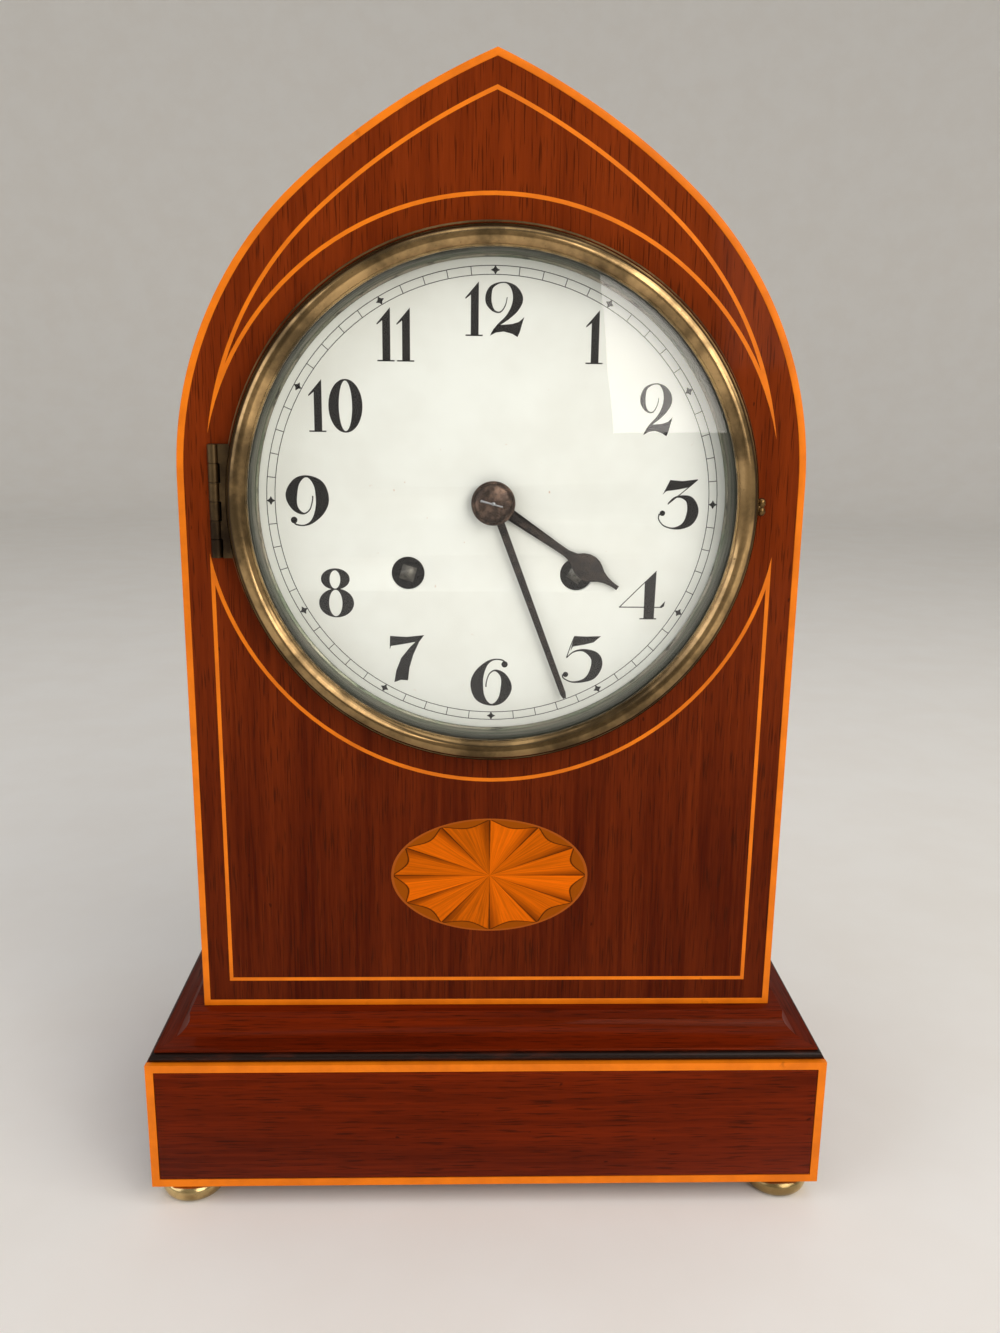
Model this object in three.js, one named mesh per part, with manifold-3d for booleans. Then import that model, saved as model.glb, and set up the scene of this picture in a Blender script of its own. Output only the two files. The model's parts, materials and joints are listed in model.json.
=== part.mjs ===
// Lancet mantel clock: an arched mahogany case with line inlay, a hinged brass bezel over an
// enamel dial, and an eight-day spring movement that goes, strikes and swings a pendulum.
// Millimetres, +Z up, the front faces -Y, the origin is on the floor under the middle of the base.
import * as THREE from 'three';
import { mergeVertices } from 'three/addons/utils/BufferGeometryUtils.js';
import Module from 'manifold-3d';

const wasm = await Module();
wasm.setup();

const DEGREE = Math.PI / 180;
const TURN = 2 * Math.PI;

// Case
const CASE_WIDTH = 175.5;
const CASE_DEPTH = 112;
const SPRING_HEIGHT = 160.8;
const SHOULDER_RADIUS = 103.4;
const SHOULDER_SWEEP = 48.2 * DEGREE;
const UPPER_RADIUS = 191.6;
const FRONT_BOARD = 11;
const SIDE_WALL = 9;
const BACK_BOARD = 8;
const DIAL_BELOW_SPRING = 5.8;
const DIAL_HEIGHT = SPRING_HEIGHT - DIAL_BELOW_SPRING;

// Inlay
const EDGE_LINE = 2;
const EDGE_LINE_DEPTH = 2;
const PANEL_LINE = 1.1;
const PANEL_LINE_DEPTH = 1;
const PANEL_INSET = 8.2;
const PANEL_FOOT = 8.4;
const PANEL_CIRCLE_REACH = 6.25;
const BASE_LINE = 2.4;
const BASE_LINE_DEPTH = 2;
const PATERA_LENGTH = 59.4;
const PATERA_HEIGHT = 36.4;
const PATERA_LIFT = 1.925;
const PATERA_DEPTH = 1;
const INLAY_GAP = 0.1;

// Base and feet
const BASE_OVERHANG = 15;
const BACK_OVERHANG = 6;
const BASE_HEIGHT = 41.4;
const BASE_WALL = 14;
const CORNER_BLOCK = 26;
const MOULDING_HEIGHT = 11.3;
const MOULDING_TOP_OUT = 3.7;
const MOULDING_TOP_EDGE = 1.8;
const MOULDING_FOOT_OUT = 12.6;
const MOULDING_FILLET = 0.8;
const BEAD_HEIGHT = 2.8;
const BEAD_DEPTH = 3.6;
const FOOT_HEIGHT = 7;
const FOOT_RADIUS = 10;
const FOOT_INSET = 10.4;
const FOOT_BULGE = 3.85;
const FOOT_FLAT = 6.2;

// Dial, pan, bezel and glass
const DIAL_DEPTH = 3.5;
const DIAL_THICKNESS = 1.3;
const PAN_FLOOR = 1.2;
const PAN_WALL = 1;
const PAN_FLANGE = 1.6;
const PAN_MARGIN = 18.95;
const PAN_RADIUS = CASE_WIDTH / 2 - PAN_MARGIN;
const SEAT_GAP = 0.3;
const GLASS_OVER_PAN = 0.3;
const GLASS_RADIUS = PAN_RADIUS + GLASS_OVER_PAN;
const BEZEL_RIM = 4.5;
const BEZEL_RADIUS = GLASS_RADIUS + BEZEL_RIM;
const FLANGE_SHOW = 1;
const PAN_FLANGE_OUT = BEZEL_RADIUS + FLANGE_SHOW - PAN_RADIUS;
const BEZEL_HALF = 3.4;
const BEZEL_BAND = 2.6;
const BEZEL_CROWN = 4.3;
const BEZEL_LIP = 0.75;
const GLASS_THICKNESS = 1.4;
const GLASS_RISE = 4.2;
const SIGHT_STEP = 3.1;
const SIGHT_RADIUS = PAN_RADIUS - SIGHT_STEP;
const SIGHT_SPLAY = 1.6;
const SIGHT_FLANGE = 1;
const TAB_LENGTH = 5.5;
const TAB_WIDTH = 3.4;
const TAB_HEIGHT = 2.6;
const CENTRE_HOLE = 4;
const WINDING_HOLE = 4.7;
const WINDING_SPREAD = 24.15;
const WINDING_DROP = 20.3;

// Hinges of the bezel and of the back door
const HINGE_LENGTH = 31.2;
const HINGE_RADIUS = 1.65;
const HINGE_PIN = 0.75;
const HINGE_BORE = 1.15;
const HINGE_KNUCKLES = 6;
const HINGE_LEAF = 0.8;
const HINGE_LEAF_REACH = 6.5;
const HINGE_STAND_OFF = 2.4;
const KNUCKLE_GAP = 0.2;
const BACK_KNUCKLES = 3;

// Hands
const MINUTE_HAND_CLEARANCE = 5.3;
const MINUTE_HAND_LENGTH = SIGHT_RADIUS - MINUTE_HAND_CLEARANCE;
const MINUTE_HAND_WIDTH = 2.3;
const MINUTE_HAND_ANGLE = 159.2 * DEGREE;
const HOUR_HAND_LENGTH = 43.3;
const HOUR_HAND_WIDTH = 2.2;
const HOUR_HAND_SPADE = 7.6;
const HOUR_HAND_ANGLE = 123.7 * DEGREE;
const HAND_THICKNESS = 0.6;
const HAND_GAP = 0.7;
const HAND_HUB = 4.6;
const COLLET_RADIUS = 6.2;
const COLLET_HEIGHT = 2.4;
const HAND_POINT = 0.05;
const HOUR_HAND_NECK = 0.6;
const CANNON_WALL = 0.5;
const HOUR_PIPE_WALL = 0.8;

// Back ring, back door and straps
const BACK_HOLE_RADIUS = 62;
const BACK_RING_WALL = 1.5;
const BACK_RING_FLANGE = 6;
const BACK_RING_LIP = 6;
const BACK_RING_DEPTH = 9;
const SHEET = 1.4;
const DOOR_DISH = 1.6;
const STRAP_WIDTH = 12;
const STRAP_THICKNESS = 1.5;
const STRAP_FOOT = 8;

// Movement frame
const MOTION_SPACE = 8;
const MINUTE_STUD = 6;
const PLATE_RADIUS = 51;
const PLATE_THICKNESS = 2;
const PILLAR_LENGTH = 36;
const PILLAR_RADIUS = 2.8;
const PILLAR_PIN = 1.4;
const PILLAR_INSET = 5;
const PILLAR_ANGLES = [-90, 10, 62, 170];
const DIAL_FOOT_RADIUS = 2;
const DIAL_FOOT_INSET = 4;
const DIAL_FOOT_ANGLES = [75, 200, 340];
const RUNNING_GAP = 0.2;
const END_SHAKE = 0.4;
const ARBOR_RADIUS = 0.9;
const PIVOT_RADIUS = 0.65;
const WHEEL_THICKNESS = 1.4;
const FINE_ARBOR_RADIUS = 0.75;
const PINION_LENGTH = 3.4;
const LOW_PINION_LENGTH = 3;
const MOTION_WHEEL_THICKNESS = 1;

// Layers of the wheels: the first five behind the front plate, the last two before the back plate
const SECOND_WHEEL_LAYER = 1;
const CENTRE_WHEEL_LAYER = 5.5;
const BARREL_LAYER = 9;
const PIN_WHEEL_LAYER = 14;
const WARNING_WHEEL_LAYER = 20;
const THIRD_WHEEL_LAYER = 12;
const ESCAPE_WHEEL_LAYER = 6;

// Trains: tooth counts and modules
const TOOTH_ADDENDUM = 0.8;
const TOOTH_DEDENDUM = 1.3;
const BARREL_TEETH = 48;
const BARREL_MODULE = 0.775;
const SECOND_TEETH = 48;
const SECOND_MODULE = 0.625;
const MAIN_PINION_LEAVES = 8;
const CENTRE_TEETH = 72;
const CENTRE_MODULE = 0.44;
const THIRD_TEETH = 66;
const THIRD_MODULE = 0.4;
const FINE_PINION_LEAVES = 6;
const ESCAPE_TEETH = 36;
const ESCAPE_RADIUS = 10.5;
const ESCAPE_TOOTH_DEPTH = 1.7;
const ESCAPE_RISE = 28;
const PIN_WHEEL_TEETH = 48;
const PIN_WHEEL_MODULE = 0.44;
const PIN_WHEEL_BEARING = 97 * DEGREE;
const LIFTING_PINS = 8;
const LIFTING_PIN_RADIUS = 0.7;
const LIFTING_PIN_CIRCLE = 8;
const LIFTING_PIN_LENGTH = 2.6;
const WARNING_TEETH = 42;
const WARNING_MODULE = 0.4;
const WARNING_BEARING = 80 * DEGREE;
const FLY_BEARING = 60 * DEGREE;
const FLY_WIDTH = 11;
const FLY_LENGTH = 12;
const FLY_VANE = 0.6;
const FLY_STAND_OFF = 2;
const MOTION_MODULE = 0.5;
const CANNON_LEAVES = 10;
const MINUTE_WHEEL_TEETH = 30;
const MINUTE_PINION_LEAVES = 8;
const HOUR_WHEEL_TEETH = 32;
const MOTION_BEARING = 55 * DEGREE;
const STRIKE_SECOND_CLEARANCE = 2;

// Barrels, winding arbors, ratchets and clicks
const BARREL_RADIUS = 17.2;
const BARREL_RIM = 2.5;
const BARREL_END_ROOM = 4;
const BARREL_ARBOR = 2.6;
const BARREL_PIVOT = 1.5;
const WINDING_SQUARE = 4.2;
const RATCHET_TEETH = 20;
const RATCHET_RADIUS = 7.5;
const RATCHET_DEPTH = 1.1;
const CLICK_REACH = 6.3;
const CLICK_HEEL = 4.95;
const CLICK_HEEL_LIFT = 0.9;
const CLICK_NOSE_LIFT = 0.4;
const CLICK_BACK = 0.2;
const CLICK_PIVOT = 1.2;
const CLICK_WIDTH = 3.2;

// Pendulum, escapement and strike
const ANCHOR_RISE = 14.5;
const ANCHOR_SPREAD = 40 * DEGREE;
const PALLET_CLEARANCE = 0.9;
const PALLET_WIDTH = 2.2;
const ANCHOR_CROWN = 2.2;
const ANCHOR_BELLY = 1.6;
const CRUTCH_LENGTH = 30;
const CRUTCH_WIDTH = 2.4;
const CRUTCH_GAP = 0.6;
const PENDULUM_PLANE = 7.5;
const PENDULUM_LENGTH = 142.6;
const ROD_RADIUS = 1.3;
const COCK_FOOT_WIDTH = 10;
const COCK_FOOT_HEIGHT = 7;
const COCK_WIDTH = 6;
const COCK_ARM_HEIGHT = 3;
const COCK_JAW_MARGIN = 1;
const SPRING_LENGTH = 12;
const SPRING_WIDTH = 5;
const SPRING_STRIP = 0.4;
const BOB_RADIUS = 20;
const BOB_THICKNESS = 11;
const BOB_EDGE = 1.2;
const NUT_RADIUS = 5;
const NUT_HEIGHT = 4;
const HAMMER_X = -36;
const HAMMER_RISE = 22;
const HAMMER_ARM = 1.3;
const HAMMER_HEAD_RADIUS = 4;
const HAMMER_HEAD_LENGTH = 10;
const HAMMER_STAND_OFF = 1.4;
const HAMMER_TAIL_CLEARANCE = 0.4;
const HAMMER_TAIL_WIDTH = 2;
const GONG_LOOPS = 3;
const GONG_INNER_RADIUS = 14;
const GONG_PITCH = 10;
const GONG_WIRE = 1.8;
const GONG_DROP = 80;
const GONG_BACK_ROOM = 19;
const GONG_STEPS = 24;
const GONG_SIDES = 6;
const STAND_WIDTH = 34;
const STAND_DEPTH = 24;
const STAND_THICKNESS = 4;
const STAND_POST = 6;
const STAND_POST_GAP = 4;
const STAND_JAW = 4.6;

// Smoothness of round shapes
const ARCH_STEPS = 7;
const RING_STEPS = 32;
const DRUM_STEPS = 20;
const SMALL_STEPS = 12;
const ROD_SIDES = 6;
const BEND_STEPS = 5;

// How far cutting tools run past a face, and joined solids into each other
const PAST = 1;

// Heights and depths worked out from the sizes above
const caseFoot = FOOT_HEIGHT + BASE_HEIGHT + MOULDING_HEIGHT;
const caseHalf = CASE_WIDTH / 2;
const baseHalf = caseHalf + BASE_OVERHANG;
const baseDepth = CASE_DEPTH + BASE_OVERHANG + BACK_OVERHANG;
const baseFront = -baseDepth / 2;
const baseBack = baseDepth / 2;
const caseFront = baseFront + BASE_OVERHANG;
const panFloorFront = DIAL_DEPTH + DIAL_THICKNESS;
const panFloorBack = panFloorFront + PAN_FLOOR;
const panInner = PAN_RADIUS - PAN_WALL;
const panFlangeRadius = PAN_RADIUS + PAN_FLANGE_OUT;
const panelCircle = panFlangeRadius + PANEL_CIRCLE_REACH;
const PATERA_RISE = (PANEL_FOOT + DIAL_HEIGHT - panelCircle) / 2 + PATERA_LIFT;
const bezelBack = -(PAN_FLANGE + SEAT_GAP);
const plateFront = panFloorBack + MOTION_SPACE;
const plateInner = plateFront + PLATE_THICKNESS;
const backPlateFront = plateInner + PILLAR_LENGTH;
const backPlateBack = backPlateFront + PLATE_THICKNESS;
const pendulumPlane = backPlateBack + PENDULUM_PLANE;
const gongPlane = CASE_DEPTH - BACK_BOARD - GONG_BACK_ROOM;
const hourHandBack = DIAL_DEPTH - HAND_GAP;
const hourHandFront = hourHandBack - HAND_THICKNESS;
const minuteHandBack = hourHandFront - HAND_GAP;
const minuteHandFront = minuteHandBack - HAND_THICKNESS;

// Finishes
function finish(color, roughness, metalness) {
  return new THREE.MeshStandardMaterial({ color, roughness, metalness });
}

const mahogany = finish('#7a3316', 0.35, 0);
const darkMahogany = finish('#4a1d10', 0.35, 0);
const ebonised = finish('#140d0a', 0.4, 0);
const boxwood = finish('#c9742c', 0.4, 0);
const satinwood = finish('#d98a30', 0.4, 0);
const pine = finish('#8a6238', 0.7, 0);
const brass = finish('#a58a55', 0.35, 1);
const oldBrass = finish('#5f5a48', 0.5, 1);
const enamel = finish('#e9e6dc', 0.2, 0);
const clearGlass = finish('#dfe8e6', 0.05, 0);
const bronzedSteel = finish('#221d1a', 0.45, 1);
const steel = finish('#8d9096', 0.35, 1);
const iron = finish('#3b3936', 0.6, 1);

// Solids and booleans: geometry goes in and one closed geometry comes out.
function solid(geometry) {
  const plain = new THREE.BufferGeometry();
  plain.setAttribute('position', geometry.getAttribute('position').clone());
  plain.setIndex(geometry.index ? geometry.index.clone() : null);
  const merged = mergeVertices(plain);
  const position = merged.getAttribute('position');
  const corners = merged.index.array;
  const point = (index) => new THREE.Vector3().fromBufferAttribute(position, index);
  const triangles = [];
  let volume = 0;
  for (let i = 0; i < corners.length; i += 3) {
    const [a, b, c] = corners.slice(i, i + 3);
    if (a !== b && b !== c && c !== a) {
      triangles.push(a, b, c);
      volume += point(a).dot(point(b).cross(point(c)));
    }
  }
  if (volume < 0) {
    triangles.reverse();
  }
  const vertProperties = Float32Array.from(position.array);
  const triVerts = Uint32Array.from(triangles);
  return new wasm.Manifold(new wasm.Mesh({ numProp: 3, vertProperties, triVerts }));
}

function geometryOf(body) {
  const mesh = body.getMesh();
  const geometry = new THREE.BufferGeometry();
  geometry.setAttribute('position', new THREE.BufferAttribute(mesh.vertProperties, 3));
  geometry.setIndex(new THREE.BufferAttribute(mesh.triVerts, 1));
  geometry.computeVertexNormals();
  return geometry;
}

const closed = (geometry) => geometryOf(solid(geometry));

function join(...pieces) {
  return geometryOf(pieces.map(solid).reduce((whole, piece) => whole.add(piece)));
}

function cut(piece, ...tools) {
  return geometryOf(tools.map(solid).reduce((left, tool) => left.subtract(tool), solid(piece)));
}

// Flat outlines: points are [x, z] in the front view unless said otherwise.
function polar(radius, angle, cx = 0, cz = 0) {
  return [cx + radius * Math.cos(angle), cz + radius * Math.sin(angle)];
}

const mirror = (points) => points.map(([x, z]) => [-x, z]).reverse();
const vectors = (points) => points.map(([x, z]) => new THREE.Vector2(x, z));

function arc(radius, from, to, steps, cx = 0, cz = 0) {
  const at = (step) => polar(radius, from + (to - from) * step / steps, cx, cz);
  return Array.from({ length: steps + 1 }, (unused, step) => at(step));
}

const circle = (radius, steps, cx = 0, cz = 0) => arc(radius, 0, TURN, steps, cx, cz).slice(0, steps);
const oval = (halfX, halfZ, steps, cz) => circle(1, steps).map(([x, z]) => [halfX * x, cz + halfZ * z]);
const rectangle = (left, right, low, high) => [[left, low], [right, low], [right, high], [left, high]];

function outline(points, holes = []) {
  const shape = new THREE.Shape(vectors(points));
  shape.holes = holes.map((hole) => new THREE.Path(vectors(hole)));
  return shape;
}

// A front-view outline made thick from one depth to another.
function plate(points, front, back, holes = []) {
  const settings = { depth: back - front, bevelEnabled: false };
  const geometry = new THREE.ExtrudeGeometry(outline(points, holes), settings);
  geometry.rotateX(Math.PI / 2);
  geometry.translate(0, back, 0);
  return geometry;
}

// A plan-view outline, with points [x, y], made thick from one height to another.
function slab(points, low, high, holes = []) {
  const settings = { depth: high - low, bevelEnabled: false };
  const geometry = new THREE.ExtrudeGeometry(outline(points, holes), settings);
  geometry.translate(0, 0, low);
  return geometry;
}

// A profile of [radius, depth] points turned round the y axis.
function turned(profile, steps) {
  const points = [...profile, profile[0]];
  return new THREE.LatheGeometry(vectors(points), steps);
}

// The same, with the profile's second number a height, turned round the z axis.
const turnedUpright = (profile, steps) => turned(profile, steps).rotateX(Math.PI / 2);

function rod(radius, front, back, sides = ROD_SIDES, x = 0, z = 0) {
  const geometry = new THREE.CylinderGeometry(radius, radius, back - front, sides, 1, false, Math.PI / 2);
  geometry.translate(x, (front + back) / 2, z);
  return geometry;
}

function block(left, right, front, back, low, high) {
  const geometry = new THREE.BoxGeometry(right - left, back - front, high - low);
  geometry.translate((left + right) / 2, (front + back) / 2, (low + high) / 2);
  return geometry;
}

// A skin over a row of matching convex outlines of [x, y, z] points, closed at both ends.
function loft(rings) {
  const count = rings[0].length;
  const index = [];
  for (let ring = 0; ring + 1 < rings.length; ring += 1) {
    for (let side = 0; side < count; side += 1) {
      const a = ring * count + side;
      const b = ring * count + (side + 1) % count;
      index.push(a, b, b + count, a, b + count, a + count);
    }
  }
  const last = (rings.length - 1) * count;
  for (let side = 1; side + 1 < count; side += 1) {
    index.push(0, side + 1, side);
    index.push(last, last + side, last + side + 1);
  }
  const geometry = new THREE.BufferGeometry();
  geometry.setAttribute('position', new THREE.Float32BufferAttribute(rings.flat(2), 3));
  geometry.setIndex(index);
  return geometry;
}

// The arch: a shoulder arc and a flatter upper arc that meet smoothly, mirrored at the apex.
const shoulderX = caseHalf - SHOULDER_RADIUS;
const radiusChange = SHOULDER_RADIUS - UPPER_RADIUS;
const upperX = shoulderX + radiusChange * Math.cos(SHOULDER_SWEEP);
const upperZ = SPRING_HEIGHT + radiusChange * Math.sin(SHOULDER_SWEEP);

function halfArch(inset, foot) {
  const apexAngle = Math.acos(-upperX / (UPPER_RADIUS - inset));
  const shoulder = arc(SHOULDER_RADIUS - inset, 0, SHOULDER_SWEEP, ARCH_STEPS, shoulderX, SPRING_HEIGHT);
  const upper = arc(UPPER_RADIUS - inset, SHOULDER_SWEEP, apexAngle, ARCH_STEPS, upperX, upperZ);
  upper[ARCH_STEPS][0] = 0;
  return [[caseHalf - inset, foot], ...shoulder, ...upper.slice(1)];
}

function lancet(inset, foot) {
  const right = halfArch(inset, foot);
  return [...right, ...mirror(right).slice(1)];
}

// Inlay lines: an area of the front, less the same area drawn in by the width of the line.
// The panels are what the arch leaves above and below a circle round the dial.
const edgeBand = plate(lancet(0, 0), 0, EDGE_LINE_DEPTH, [lancet(EDGE_LINE, EDGE_LINE)]);

function panel(shrink, front, back, above) {
  const area = plate(lancet(PANEL_INSET + shrink, PANEL_FOOT + shrink), front, back);
  const disc = rod(panelCircle + shrink, front - PAST, back + PAST, 2 * RING_STEPS, 0, DIAL_HEIGHT);
  const low = above ? -CASE_WIDTH : DIAL_HEIGHT;
  const high = above ? DIAL_HEIGHT : DIAL_HEIGHT + CASE_WIDTH;
  return cut(area, disc, block(-CASE_WIDTH, CASE_WIDTH, front - PAST, back + PAST, low, high));
}

function panelLine(grow, depth, above) {
  return cut(panel(-grow, 0, depth, above), panel(PANEL_LINE + grow, -PAST, depth + PAST, above));
}

function pateraOutline(grow) {
  return oval(PATERA_LENGTH / 2 + grow, PATERA_HEIGHT / 2 + grow, RING_STEPS, PATERA_RISE);
}

// Wooden case
const hingeX = -(panFlangeRadius + HINGE_STAND_OFF);
const hingeY = -(HINGE_RADIUS + SEAT_GAP);
const leafInner = hingeX + HINGE_LEAF_REACH;

function caseFrontBoard() {
  const inside = EDGE_LINE + INLAY_GAP;
  const core = plate(lancet(0, 0), EDGE_LINE_DEPTH, FRONT_BOARD);
  const face = plate(lancet(inside, inside), 0, EDGE_LINE_DEPTH);
  const dialHole = rod(PAN_RADIUS + SEAT_GAP, -PAST, FRONT_BOARD + PAST, RING_STEPS, 0, DIAL_HEIGHT);
  const grooveDepth = PANEL_LINE_DEPTH + INLAY_GAP;
  const upperGroove = panelLine(INLAY_GAP, grooveDepth, true);
  const lowerGroove = panelLine(INLAY_GAP, grooveDepth, false);
  const recess = plate(pateraOutline(INLAY_GAP), 0, PATERA_DEPTH + INLAY_GAP);
  const half = HINGE_LENGTH / 2 + INLAY_GAP;
  const leafSeat = block(hingeX - HINGE_RADIUS, leafInner + INLAY_GAP, -PAST, HINGE_LEAF + INLAY_GAP,
    DIAL_HEIGHT - half, DIAL_HEIGHT + half);
  return cut(join(core, face), dialHole, upperGroove, lowerGroove, recess, leafSeat);
}

function caseSide(hand) {
  const outer = halfArch(0, 0);
  const inner = halfArch(SIDE_WALL, 0);
  const band = [...outer, ...inner.reverse()];
  const points = hand > 0 ? band : mirror(band);
  return closed(plate(points, FRONT_BOARD, CASE_DEPTH));
}

function backBoard() {
  const inset = SIDE_WALL + SEAT_GAP;
  const hole = circle(BACK_HOLE_RADIUS, RING_STEPS, 0, DIAL_HEIGHT);
  return closed(plate(lancet(inset, 0), CASE_DEPTH - BACK_BOARD, CASE_DEPTH, [hole]));
}

// Base: every ring of the moulding stands out from the case by the same step at front and sides.
const ringAt = (out, z) => [
  [-(caseHalf + out), caseFront - out, z],
  [caseHalf + out, caseFront - out, z],
  [caseHalf + out, baseBack, z],
  [-(caseHalf + out), baseBack, z],
];

function baseTop() {
  const foot = FOOT_HEIGHT + BASE_HEIGHT;
  const filletTop = foot + BEAD_HEIGHT + MOULDING_FILLET;
  const hollowTop = caseFoot - MOULDING_TOP_EDGE;
  const run = MOULDING_FOOT_OUT - MOULDING_TOP_OUT;
  const drop = hollowTop - filletTop;
  const hollow = arc(1, Math.PI, 1.5 * Math.PI, ARCH_STEPS).map(([u, v]) => [u + 1, v + 1]);
  const rings = [
    ringAt(MOULDING_FOOT_OUT - BEAD_DEPTH, foot),
    ringAt(MOULDING_FOOT_OUT - BEAD_DEPTH, foot + BEAD_HEIGHT),
    ringAt(MOULDING_FOOT_OUT, foot + BEAD_HEIGHT),
    ...hollow.reverse().map(([u, v]) => ringAt(MOULDING_TOP_OUT + run * u, filletTop + drop * v)),
    ringAt(MOULDING_TOP_OUT, caseFoot),
  ];
  return closed(loft(rings));
}

function baseBead() {
  const foot = FOOT_HEIGHT + BASE_HEIGHT;
  const inner = MOULDING_FOOT_OUT - BEAD_DEPTH + INLAY_GAP;
  const middle = foot + BEAD_HEIGHT / 2;
  const round = BEAD_HEIGHT / 2 - INLAY_GAP;
  const nose = arc(round, -Math.PI / 2, Math.PI / 2, ARCH_STEPS, MOULDING_FOOT_OUT, middle);
  const low = foot + INLAY_GAP;
  const high = foot + BEAD_HEIGHT - INLAY_GAP;
  const profile = [[inner, low], ...nose, [inner, high]];
  const station = (side, atBack) => profile.map(([out, z]) => [
    side * (caseHalf + out),
    atBack ? baseBack : caseFront - out,
    z,
  ]);
  return closed(loft([station(-1, true), station(-1, false), station(1, false), station(1, true)]));
}

const baseFace = rectangle(-baseHalf, baseHalf, FOOT_HEIGHT, FOOT_HEIGHT + BASE_HEIGHT);
const baseFaceInside = (line) => rectangle(-baseHalf + line, baseHalf - line, FOOT_HEIGHT + line,
  FOOT_HEIGHT + BASE_HEIGHT - line);

function basePlinth() {
  const insideX = baseHalf - BASE_WALL;
  const insideFront = baseFront + BASE_WALL;
  const insideBack = baseBack - BASE_WALL;
  const cornerX = baseHalf - CORNER_BLOCK;
  const cornerFront = baseFront + CORNER_BLOCK;
  const cornerBack = baseBack - CORNER_BLOCK;
  const hole = [
    [cornerX, insideFront], [insideX, cornerFront], [insideX, cornerBack], [cornerX, insideBack],
    [-cornerX, insideBack], [-insideX, cornerBack], [-insideX, cornerFront], [-cornerX, insideFront],
  ];
  const walls = slab(rectangle(-baseHalf, baseHalf, baseFront, baseBack), FOOT_HEIGHT,
    FOOT_HEIGHT + BASE_HEIGHT, [hole]);
  const around = rectangle(-baseHalf - PAST, baseHalf + PAST, FOOT_HEIGHT - PAST,
    FOOT_HEIGHT + BASE_HEIGHT + PAST);
  const rebateBack = baseFront + BASE_LINE_DEPTH;
  const rebate = plate(around, baseFront - PAST, rebateBack, [baseFaceInside(BASE_LINE + INLAY_GAP)]);
  return cut(walls, rebate);
}

function baseStringing() {
  const back = baseFront + BASE_LINE_DEPTH;
  return closed(plate(baseFace, baseFront, back, [baseFaceInside(BASE_LINE)]));
}

function bunFoot() {
  const round = arc(1, -Math.PI / 2, Math.PI / 2, BEND_STEPS).map(([u, v]) => [
    FOOT_FLAT + (FOOT_RADIUS - FOOT_FLAT) * u,
    v < 0 ? FOOT_BULGE * (1 + v) : FOOT_BULGE + (FOOT_HEIGHT - FOOT_BULGE) * v,
  ]);
  return closed(turnedUpright([[0, 0], ...round, [0, FOOT_HEIGHT]], SMALL_STEPS));
}

// Dial pan, dial, bezel, sight ring and glass, in depths from the case front
const windingHoles = (radius, steps) => [
  circle(radius, steps, WINDING_SPREAD, -WINDING_DROP),
  circle(radius, steps, -WINDING_SPREAD, -WINDING_DROP),
];

function dialPan() {
  const pan = turned([
    [CENTRE_HOLE, panFloorFront], [panInner, panFloorFront], [panInner, -PAN_FLANGE],
    [panFlangeRadius, -PAN_FLANGE], [panFlangeRadius, 0], [PAN_RADIUS, 0],
    [PAN_RADIUS, panFloorBack], [CENTRE_HOLE, panFloorBack],
  ], RING_STEPS);
  const clearance = WINDING_HOLE + SEAT_GAP;
  const hole = (side) => rod(clearance, panFloorFront - PAST, panFloorBack + PAST, SMALL_STEPS,
    side * WINDING_SPREAD, -WINDING_DROP);
  return cut(pan, hole(1), hole(-1));
}

function dialDisc() {
  const holes = [circle(CENTRE_HOLE, SMALL_STEPS), ...windingHoles(WINDING_HOLE, SMALL_STEPS)];
  return closed(plate(circle(panInner - SEAT_GAP, RING_STEPS), DIAL_DEPTH, panFloorFront, holes));
}

const crownR = BEZEL_RADIUS - BEZEL_HALF;
const crownY = bezelBack - BEZEL_BAND;
const lipAngle = 150 * DEGREE;
const lipR = crownR + BEZEL_HALF * Math.cos(lipAngle);
const lipBack = crownY - BEZEL_CROWN * Math.sin(lipAngle) + BEZEL_LIP;
const rebateRadius = GLASS_RADIUS + RUNNING_GAP;

function bezelRing() {
  const crown = arc(1, 0, lipAngle, BEND_STEPS).map(([u, v]) => [
    crownR + BEZEL_HALF * u,
    crownY - BEZEL_CROWN * v,
  ]);
  const ring = turned([
    [BEZEL_RADIUS, bezelBack], ...crown, [lipR, lipBack],
    [rebateRadius, lipBack], [rebateRadius, bezelBack],
  ], RING_STEPS);
  const tabInner = BEZEL_RADIUS - PAST;
  const tab = block(tabInner, tabInner + TAB_WIDTH, bezelBack - TAB_HEIGHT, bezelBack,
    -TAB_LENGTH / 2, TAB_LENGTH / 2);
  return join(ring, tab);
}

const glassEdge = lipBack + SEAT_GAP + GLASS_RISE * (1 - (lipR / GLASS_RADIUS) ** 2);

function glassDome() {
  const share = [0, 0.4, 0.75, 1];
  const front = share.map((part) => [GLASS_RADIUS * part, glassEdge - GLASS_RISE * (1 - part * part)]);
  const back = front.map(([radius, depth]) => [radius, depth + GLASS_THICKNESS]).reverse();
  return closed(turned([...front, ...back], RING_STEPS));
}

function sightRing() {
  const ringFront = glassEdge + GLASS_THICKNESS + INLAY_GAP;
  const ringBack = DIAL_DEPTH - SEAT_GAP;
  const outside = panInner - SEAT_GAP;
  return closed(turned([
    [SIGHT_RADIUS, ringBack], [SIGHT_RADIUS + SIGHT_SPLAY, ringFront],
    [GLASS_RADIUS, ringFront], [GLASS_RADIUS, Math.min(ringFront + SIGHT_FLANGE, bezelBack)],
    [outside, -PAN_FLANGE - SEAT_GAP / 2], [outside, ringBack],
  ], RING_STEPS));
}

// Hinge knuckles stand in a row round an upright pin: even ones are fixed, odd ones swing.
const knucklePitch = (count) => HINGE_LENGTH / count;

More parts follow.
